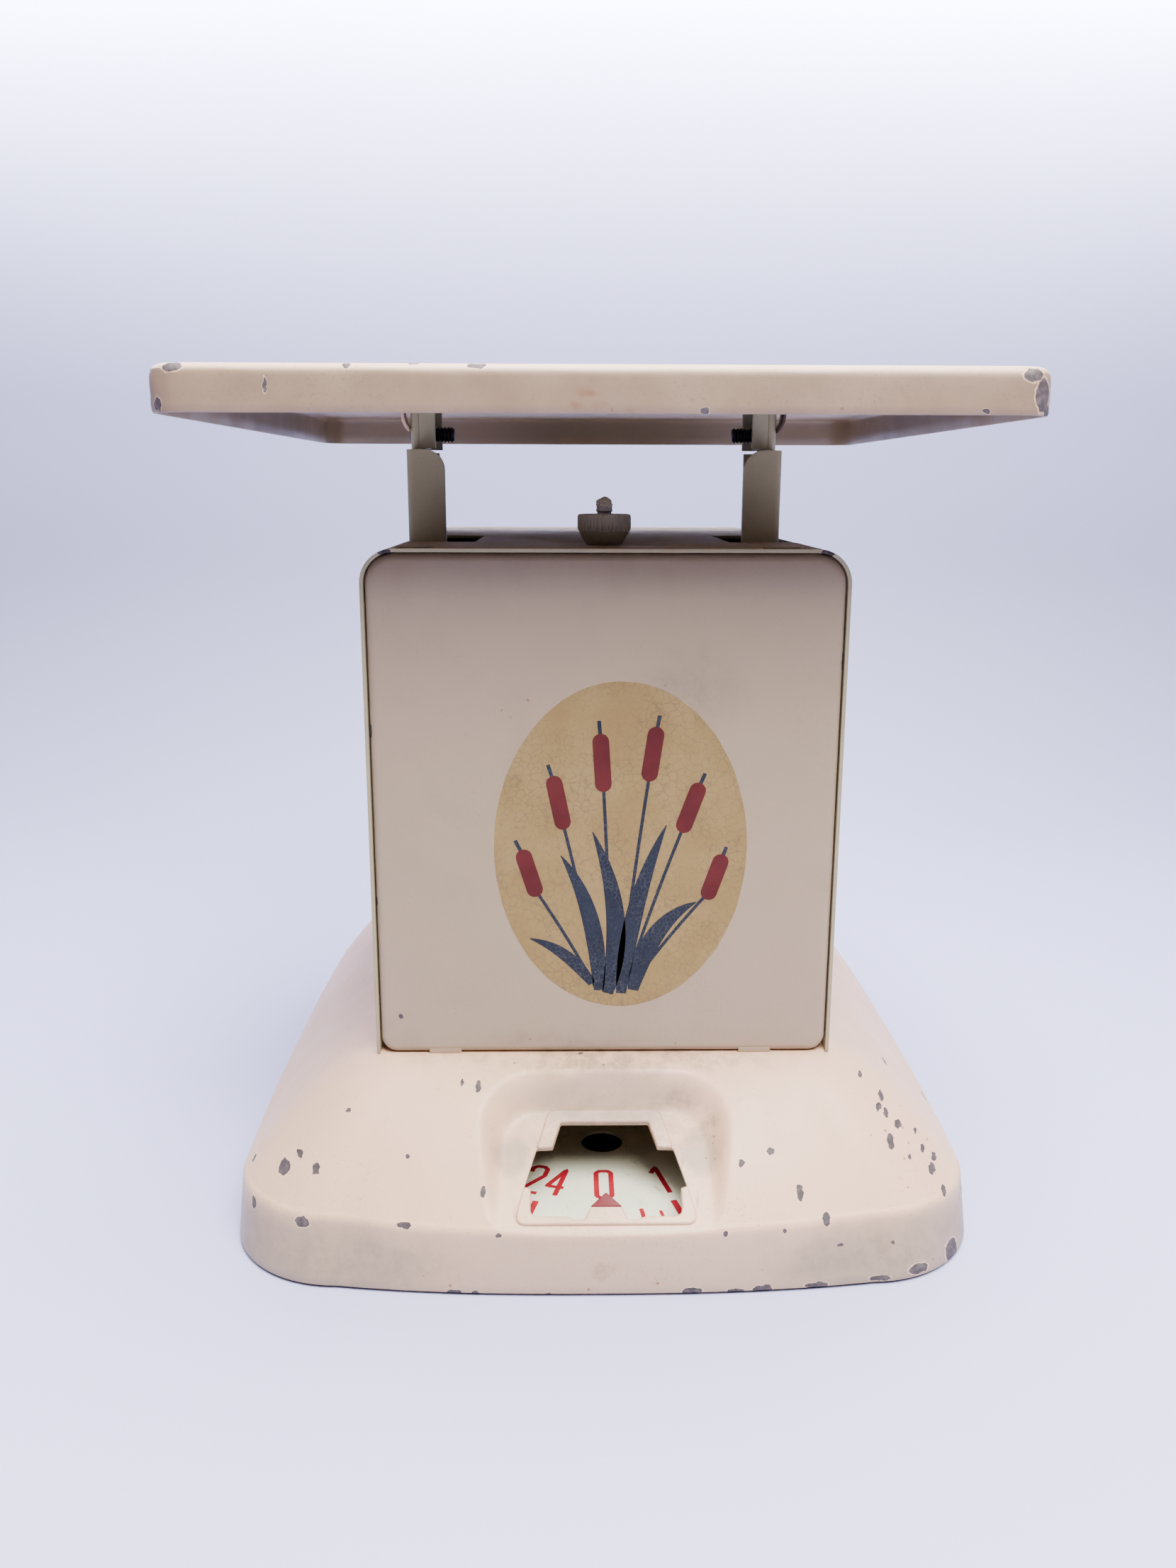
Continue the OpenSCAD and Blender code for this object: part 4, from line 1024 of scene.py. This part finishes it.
def make_tray_screws(material):
    """Two screws whose threaded ends stand out between the posts."""
    crest, root = THREAD_R, 1.9 * MM
    head_t = 1.2 * MM
    thread = 8 * MM
    z = (SCREW_LOW.z + SCREW_HIGH.z) / 2
    head_r = (SCREW_HIGH.z - SCREW_LOW.z) / 2
    start = (SCREW_HIGH.x - SCREW_LOW.x) / 2 - head_t
    end = start - 12.8 * MM
    parts = []
    for side in (-1, 1):
        profile = [(0.6 * MM, side * end), (root, side * (end + 0.2 * MM))]
        for turn in np.arange(end + 0.5 * MM, end + thread, THREAD_PITCH):
            profile += [(root, side * turn), (crest, side * (turn + THREAD_PITCH * 0.45)),
                        (crest, side * (turn + THREAD_PITCH * 0.55))]
        profile += [(crest, side * (end + thread + THREAD_PITCH)), (crest, side * start),
                    (head_r, side * start), (head_r, side * (start + head_t * 0.4)),
                    (head_r * 0.75, side * (start + head_t * 0.9)),
                    (head_r * 0.4, side * (start + head_t))]
        parts.append(lathe(f"screw_{side}", profile, Vector((TRAY_X, WEIGH_Y, z)), "X"))
    link(joined("tray_screw_pair", parts), material, "carriage", ["tray_screws"])


# ---------------------------------------------------------------- zero knob and rod
def make_knob(material):
    """Knurled band over a plain cone, with a dished top."""
    r = KNOB_HIGH.x
    z = KNOB_LOW.z
    height = KNOB_HIGH.z - z
    teeth = 44
    sides = teeth * 6
    bore = 2.45 * MM
    profile = [(bore, 0.1, 0), (r * 0.64, 0.0, 0), (r * 0.67, 0.02, 0), (r * 0.80, 0.2, 0),
               (r * 0.94, 0.43, 0), (r * 0.965, 0.455, 0), (r * 0.97, 0.48, 0.6), (r, 0.52, 1),
               (r, 0.9, 1), (r * 0.985, 0.95, 0.6), (r * 0.96, 0.985, 0), (r * 0.9, 1.0, 0),
               (r * 0.7, 0.985, 0), (r * 0.45, 0.95, 0), (bore, 0.94, 0), (bore, 0.1, 0)]
    points = []
    for radius, share, knurl in profile:
        for i in range(sides):
            a = 2 * math.pi * i / sides
            groove = 0.5 - 0.5 * math.cos(teeth * a)
            rr = radius - knurl * 0.42 * MM * (1 - min(1, groove * 1.8))
            points.append((rr * math.cos(a), KNOB_Y + rr * math.sin(a), z + height * share))
    obj = new_mesh("knurled_knob", points, rings_to_faces(len(profile), sides), 50)
    link(obj, material, "knob", ["zero_knob"])


def thread_turns(z, stop):
    """Profile of a thread from one height to another, and where its last turn ends."""
    turns = []
    while z < stop:
        turns += [(THREAD_R - THREAD_DEEP, z), (THREAD_R, z + THREAD_PITCH / 2)]
        z += THREAD_PITCH
    return turns, z


def make_rod(steel, lump_material):
    """Threaded rod with its end hammered over and painted on top."""
    top = ROD_HIGH.z - 2.6 * MM
    lower, z = thread_turns(ROD_LOW.z + 1.2 * MM, ROD_LOW.z + 26 * MM)
    upper, _ = thread_turns(KNOB_LOW.z - 8 * MM, top - THREAD_PITCH)
    profile = [(1.6 * MM, ROD_LOW.z), (THREAD_R, ROD_LOW.z + 0.6 * MM), *lower, (THREAD_R, z),
               (THREAD_R, KNOB_LOW.z - 9 * MM), *upper, (THREAD_R - 0.3 * MM, top)]
    rod = lathe("threaded_rod", profile, Vector((0, KNOB_Y, 0)), "Z")
    link(rod, steel, "adjuster", ["adjusting_rod"])
    # The end is hammered over: wide at its foot, lumpy, and narrower above
    ball = bmesh.new()
    bmesh.ops.create_icosphere(ball, subdivisions=5, radius=1)
    half = 1.95 * MM
    middle = Vector((0, KNOB_Y, ROD_HIGH.z - half))
    for v in ball.verts:
        p = v.co.copy()
        lump = 1 + 0.22 * noise.noise(p * 1.7 + Vector((4, 1, 2))) + 0.10 * noise.noise(p * 5)
        spread = (2.9 - 1.0 * (p.z + 1) / 2) * MM * lump
        ridge = 1 - 0.10 * max(0.0, math.sin(7 * p.z + 1))
        v.co = middle + Vector((p.x * spread * ridge, p.y * spread * ridge,
                                p.z * half * min(lump, 1.0)))
    mesh = bpy.data.meshes.new("hammered_end")
    ball.to_mesh(mesh)
    ball.free()
    smooth(mesh, 60)
    link(bpy.data.objects.new("hammered_end", mesh), lump_material, "adjuster")


def make_spring(steel):
    """Coil spring with a flat, closed turn at each end."""
    wire = 1.25 * MM
    r = (SPRING_HIGH.x - SPRING_LOW.x) / 2 - wire
    low = SPRING_LOW.z + wire
    high = SPRING_HIGH.z - wire
    turns = 8.5
    steps = 40
    sides = 14
    points = []
    count = int(turns * steps) + 1
    for i in range(count):
        turn = i / steps
        live = min(max(turn - 0.9, 0), turns - 1.8) / (turns - 1.8)
        a = turn * 2 * math.pi
        for k in range(sides):
            b = 2 * math.pi * k / sides
            rr = r + wire * math.cos(b)
            points.append((rr * math.cos(a), KNOB_Y + rr * math.sin(a),
                           low + live * (high - low) + wire * math.sin(b)))
    obj = new_mesh("coil_spring", points, rings_to_faces(count, sides, True, True), 60)
    link(obj, steel, "adjuster", ["main_spring"])
    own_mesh(obj)


# ---------------------------------------------------------------- dial print
CORNER = 0.22
HEAD = [(0, 2.75), (0.25, 3), (0.75, 3), (1, 2.75)]
FOOT = [(1, 0.25), (0.75, 0), (0.25, 0), (0, 0.25)]
# The lines of each digit, in digit widths and thirds of its height
DIGITS = {
    "0": [[(CORNER, 0), (1 - CORNER, 0), (1, CORNER), (1, 3 - CORNER), (1 - CORNER, 3),
           (CORNER, 3), (0, 3 - CORNER), (0, CORNER)]],
    "1": [[(0.1, 2.4), (0.6, 3), (0.6, 0)]],
    "2": [[(0, 2.3), *HEAD, (1, 2.0), (0.05, 0.5), (0.05, 0), (1.05, 0)]],
    "3": [[(0, 2.4), *HEAD, (1, 1.85), (0.75, 1.6), (0.4, 1.6)],
          [(0.75, 1.6), (1, 1.35), *FOOT, (0, 0.6)]],
    "4": [[(0.75, 0), (0.75, 3), (-0.05, 0.95), (1.1, 0.95)]],
    "5": [[(1, 3), (0.05, 3), (0.05, 1.7), (0.75, 1.7), (1, 1.45), *FOOT, (0, 0.6)]],
    "6": [[(1, 2.4), *HEAD[::-1], *FOOT[::-1], (1, 1.45), (0.75, 1.7), (0, 1.7)]],
    "7": [[(0, 3), (1.05, 3), (0.4, 0)]],
    "8": [[(0.25, 1.6), (0, 1.85), *HEAD, (1, 1.85), (0.75, 1.6)],
          [(0.25, 1.6), (0.75, 1.6), (1, 1.35), *FOOT, (0, 1.35)]],
    "9": [[(0, 0.6), *FOOT[::-1], *HEAD[::-1], (0, 1.55), (0.25, 1.3), (1, 1.3)]],
}
CLOSED_DIGITS = "08"
DIAL_COUNT = 25
# The inner end and the width of each mark after a number, and the outer end of all
MARKS = ((79.5, 1.9), (83.8, 1.0), (81.9, 1.3), (83.8, 1.0))
MARKS_END = 86.7


def make_dial_print(ink):
    """Numbers round the dial from 0 to 24, read from outside, and four marks to each."""
    digit_w, digit_h = 4.4 * MM, 14.4 * MM / 3
    gap = 6.7 * MM
    foot_r = 75.5 * MM
    quarter = 2 * math.pi / DIAL_COUNT / 4
    marks = []
    for number in range(DIAL_COUNT):
        # At rest 0 is at the front, and higher numbers come round from the right
        turn = Matrix.Rotation(2 * math.pi * number / DIAL_COUNT, 4, "Z")
        place = Matrix.Translation((0, DIAL_Y, DIAL_HIGH.z + 0.02 * MM)) @ turn
        text = str(number)
        width = digit_w + gap * (len(text) - 1)
        lines = []
        for k, digit in enumerate(text):
            for points in DIGITS[digit]:
                shifted = [(x * digit_w - width / 2 + k * gap, y * digit_h - foot_r)
                           for x, y in points]
                lines.append((shifted, digit in CLOSED_DIGITS))
        marks.append(stroke(f"number_{number}", lines, 1.55 * MM, place))
        # The last number has only its own mark
        own = MARKS if number < DIAL_COUNT - 1 else MARKS[:1]
        for k, (start, wide) in enumerate(own):
            spin = place @ Matrix.Rotation(quarter * k, 4, "Z")
            line = [([(0, -start * MM), (0, -MARKS_END * MM)], False)]
            marks.append(stroke(f"mark_{number}_{k}", line, wide * MM, spin))
    link(joined("dial_print", marks), ink, "dial")


# ---------------------------------------------------------------- worn paint of each pressing
def base_enamel():
    """Paint of the base, chipped along its rim and most of all at its right corner."""
    chips = [
        (-91.5, -102, 27, 2.2, 2.0), (-87, -101.5, 31, 1.0, 1.1), (-81.5, -107, 29, 1.1, 1.3),
        (-100.5, -103, 16.5, 0.9, 1.6), (-84.5, -114, 17, 2.0, 1.4), (-55.5, -119.5, 19, 1.9, 0.8),
        (-104, -90, 24, 1.2, 2.0), (-29.5, -122.5, 18, 0.8, 0.7), (-34, -115.5, 27, 0.7, 1.2),
        (-55.5, -108, 33.5, 0.7, 0.6), (-73.5, -97.5, 42, 0.9, 0.5), (-41, -94, 48.5, 0.5, 1.0),
        (-36.5, -95, 48, 0.8, 1.5), (-42, -123.5, 1, 2.2, 1.0), (-36, -124, 1, 1.2, 0.8),
        (-16, -124.5, 1, 0.9, 0.5), (81.5, -91, 42.5, 1.0, 1.1), (80, -95, 41, 1.2, 0.8),
        (82, -96, 39.5, 1.0, 1.2), (85.5, -97, 36.5, 1.2, 1.0), (82, -102, 34, 1.1, 2.0),
        (91, -94.5, 33, 0.6, 0.6), (92.5, -98, 29.5, 0.8, 0.8), (87.5, -102.5, 29.5, 0.6, 0.6),
        (96, -97, 26.5, 1.2, 0.9), (94.5, -101.5, 25, 1.3, 1.3), (97.5, -105, 20, 0.8, 1.5),
        (106, -93.5, 14, 0.7, 1.3), (76, -87.5, 47.5, 0.7, 0.7), (90, -61, 39.5, 0.7, 0.9),
        (106, -51.5, 22, 0.7, 1.2), (46.5, -108.5, 34.5, 1.2, 0.8), (38, -111, 32.5, 0.9, 0.8),
        (54, -115, 25.5, 1.0, 2.0), (61, -118, 19.5, 1.1, 1.7), (49, -120.5, 17.5, 0.6, 0.9),
        (32.5, -122.5, 18, 0.8, 0.8), (65, -119.5, 12, 0.9, 0.4), (99.5, -108.5, 3, 3.4, 3.4),
        (88, -117, 3, 3.2, 1.4), (23.5, -124, 1.5, 2.8, 1.0), (35.5, -124, 1, 2.3, 0.9),
        (43, -123.5, 1.5, 2.6, 1.0), (58, -122, 1.5, 3.2, 0.9), (76.5, -120, 2, 3.0, 0.8)]
    # The two stains at the tower's foot are dirt and painted shade in the crease. The stain over
    # the window's recess and the four low on the skirt's corners are painted shade, with some
    # dirt.
    stains = [(0, -84, 54, 62, 3.5), (-5, -88, 52, 26, 3), (-1, -124, 7, 3.4, 2.6),
              (-28, -103, 36, 4, 6), (29, -100, 38, 5, 8), (20, -92, 43, 10, 4),
              (0, -106, 34, 33, 14), (-74, -117, 8, 34, 10), (74, -117, 8, 34, 10),
              (-95, -100, 8, 24, 9), (95, -100, 8, 24, 9)]
    # Painted shade in the window's recess and on the skirt's front corners, with some dirt
    shades = [(0, -95, 44, 29, 8), (-26.5, -105, 33, 6, 13), (26.5, -105, 33, 6, 13),
              (-84, -112, 7, 42, 12), (84, -112, 7, 42, 12)]
    rust = [(-20.5, -107, 31, 0.7, 5), (21.5, -107, 31, 0.7, 5), (16, -95, 41.5, 5, 0.5),
            (25.5, -116, 23, 0.5, 4), (-24.5, -118.5, 22.5, 0.9, 3.2), (14, -98, 40, 3, 0.5)]
    zones = [(88, -100, 34, 14, 14), (90, -118, 6, 22, 7), (0, -86, 52, 60, 3),
             (28, -106, 32, 7, 14), (-27, -106, 32, 6, 12), (-10, -124, 5, 60, 5)]
    # The fades darken the skirt, and more towards its foot: painted shade, with some dirt
    return enamel("base_enamel", (0.95, 0.86, 0.76), 0.45, chips, stains, rust, zones, shades,
                  [(19.5, 17, 0.42), (14, 0, 0.25)], (0.22, 0.17, 0.13))


def panel_enamel():
    """Paint of the tower's front and back, cleaner than the base. Its darker tint is painted
    shade, and the fade at its top is painted shadow of the tray, with some dirt.
    """
    chips = [(-59.5, -84, 65, 0.8, 0.8), (-65.6, -82, 150, 0.7, 2.5),
             (-65.8, -82, 100, 0.6, 1.6), (65.8, -82, 170, 0.6, 3)]
    # The two stains at the panel's foot are dirt and painted shade where it meets the deck
    stains = [(-22, -84, 57, 12, 3), (-5, -84, 56, 20, 3), (24, -84, 162, 16, 12)]
    zones = [(22, -84, 166, 20, 13), (50, -84, 132, 8, 8), (-22, -84, 57.5, 12, 4),
             (-5, -84, 56, 40, 2), (-26, -84, 157, 8, 6)]
    return enamel("panel_enamel", (0.41, 0.425, 0.35), 0.4, chips, stains, zones=zones,
                  fades=[(184, 198, 0.6)], shade_and_dirt_tone=(0.11, 0.075, 0.045))


def tray_enamel():
    """Paint of the tray, chipped at its corners and along the front edge."""
    chips = [(96, -128, 241.5, 2.6, 1.5), (99, -127, 237, 2.4, 3.6), (101, -126, 233.5, 1.6, 1.4),
             (-100, -128, 242.5, 2.4, 1.1), (-104, -127, 234, 1.1, 1.8),
             (-79, -129, 238.5, 0.5, 1.8), (-60.5, -128, 243, 1.0, 0.6),
             (-45.5, -127, 243.5, 1.2, 0.4), (-31, -128, 243, 2.3, 0.7),
             (21, -129, 233.2, 1.0, 0.7), (85.5, -129, 233.5, 0.9, 0.6),
             (104, -60, 236, 2, 2), (-107, 20, 240, 2, 2)]
    rust = [(-6, -129, 237.5, 3.2, 1.0), (-3, -129, 234.5, 2.6, 1.2),
            (-9, -129, 234.5, 1.8, 1.0), (3.5, -129, 233.6, 2.0, 0.6)]
    stains = [(-2, -129, 235, 14, 4), (99, -126, 238, 8, 7), (-98, -126, 236, 9, 6)]
    # The fade darkens the rim below its top edge: painted shade, with some dirt
    return enamel("tray_enamel", (0.95, 0.91, 0.85), 0.5, chips, stains, rust,
                  [(0, -129, 233, 100, 2)], fades=[(243.1, 241.4, 0.86)],
                  shade_and_dirt_tone=(0.11, 0.07, 0.038))

# ---------------------------------------------------------------- everything
REPLACED = ("adjusting_rod", "main_spring")


def finish_cad(material, slot):
    """Gives the CAD nodes of a slot a material, apart from those that a piece replaces."""
    for part in frame["record"]["subparts"]:
        if part["material_slot"] == slot and part["node"] not in REPLACED:
            paint(nodes[part["node"]], material)


def main():
    make_camera()
    base_paint = base_enamel()
    panel_paint = panel_enamel()
    tray_paint = tray_enamel()
    # The inside paint's dark tint is painted shade under the tray, with some dirt
    inside_paint = enamel("tray_inside_enamel", (0.30, 0.31, 0.26), 0.6)
    # The tower's darker tint is painted shade under the tray, with some dirt
    tower_paint = enamel("tower_enamel", (0.44, 0.53, 0.42), 0.55,
                         [(-60, -83, 199, 2, 1), (60, -83, 199, 2, 1)],
                         [(0, -40, 200, 60, 4)], gloss=0.06, dull=0.3)
    # The darker tint of the posts and brackets is painted shade under the tray, with some dirt
    worn_shaded_paint = enamel("worn_shaded_enamel", (0.48, 0.6, 0.46), 0.4)
    # The knob's darker tint, also on the rod's hammered end, is painted shade under the tray
    knob_paint = enamel("knob_enamel", (0.5, 0.61, 0.56), 0.4)
    torn_paint = enamel("torn_enamel", (0.9, 0.86, 0.8), 0.8)
    dark_paint = enamel("stripped_enamel", (0.10, 0.07, 0.06), 0.5)
    steel = bare_metal("plain_steel", (0.42, 0.41, 0.39), 0.38)
    dark = bare_metal("black_steel", (0.045, 0.04, 0.042), 0.42, amount=0.5)
    brass = bare_metal("turned_brass", (0.55, 0.38, 0.14), 0.32, tarnish=(0.16, 0.10, 0.04))
    red = printed("dial_red", (0.26, 0.006, 0.016), (0.31, 0.014, 0.025), wear=0.2,
                  crack=(0.36, 0.28, 0.2))
    tip_red = printed("pointer_red", (0.12, 0.003, 0.008), (0.15, 0.006, 0.012), wear=0.1)
    film = printed("transfer_tan", (0.205, 0.13, 0.041), (0.235, 0.155, 0.054), 0.6, 430, 0.35,
                   (0.10, 0.065, 0.035))
    reed_red = printed("reed_red", (0.06, 0.0045, 0.0035), (0.08, 0.008, 0.006), 0.35, 900, 0.2,
                       (0.05, 0.012, 0.012))
    reed_dark = printed("reed_dark", (0.006, 0.008, 0.014), (0.010, 0.013, 0.02), 0.35, 800, 0.1,
                        (0.09, 0.09, 0.09))
    make_base(base_paint)
    make_window_ribs(base_paint)
    make_pointer(tip_red)
    make_panel("front_pan", "front_panel", panel_paint, True)
    make_panel("rear_pan", "rear_panel", panel_paint, False)
    make_panel_tabs(panel_paint)
    make_hooks(tower_paint)
    surround = eased_copy("tower_surround", "tower_wrap", 0.3 * MM)
    link(surround, tower_paint, stands_for=["tower_surround"])
    make_transfer(film, reed_red, reed_dark)
    make_tray(tray_paint, inside_paint)
    make_post("post_channel_left", "post_left", -1, worn_shaded_paint)
    make_post("post_channel_right", "post_right", 1, worn_shaded_paint)
    for side in ("left", "right"):
        bracket = eased_copy(f"tray_bracket_{side}", f"bracket_{side}", 0.35 * MM)
        link(bracket, worn_shaded_paint, "carriage", [f"tray_bracket_{side}"])
    make_curl("torn_edge_left", -1, torn_paint)
    make_curl("torn_edge_right", 1, dark_paint)
    make_tray_screws(dark)
    make_knob(knob_paint)
    make_rod(steel, knob_paint)
    make_spring(steel)
    make_dial_print(red)
    finish_cad(dial_paint("dial_stock"), "dial_face")
    finish_cad(rubber("foot_rubber"), "rubber")
    finish_cad(brass, "brass")
    finish_cad(steel, "steel")
    make_floor()
    make_light()


main()
bpy.context.view_layer.update()
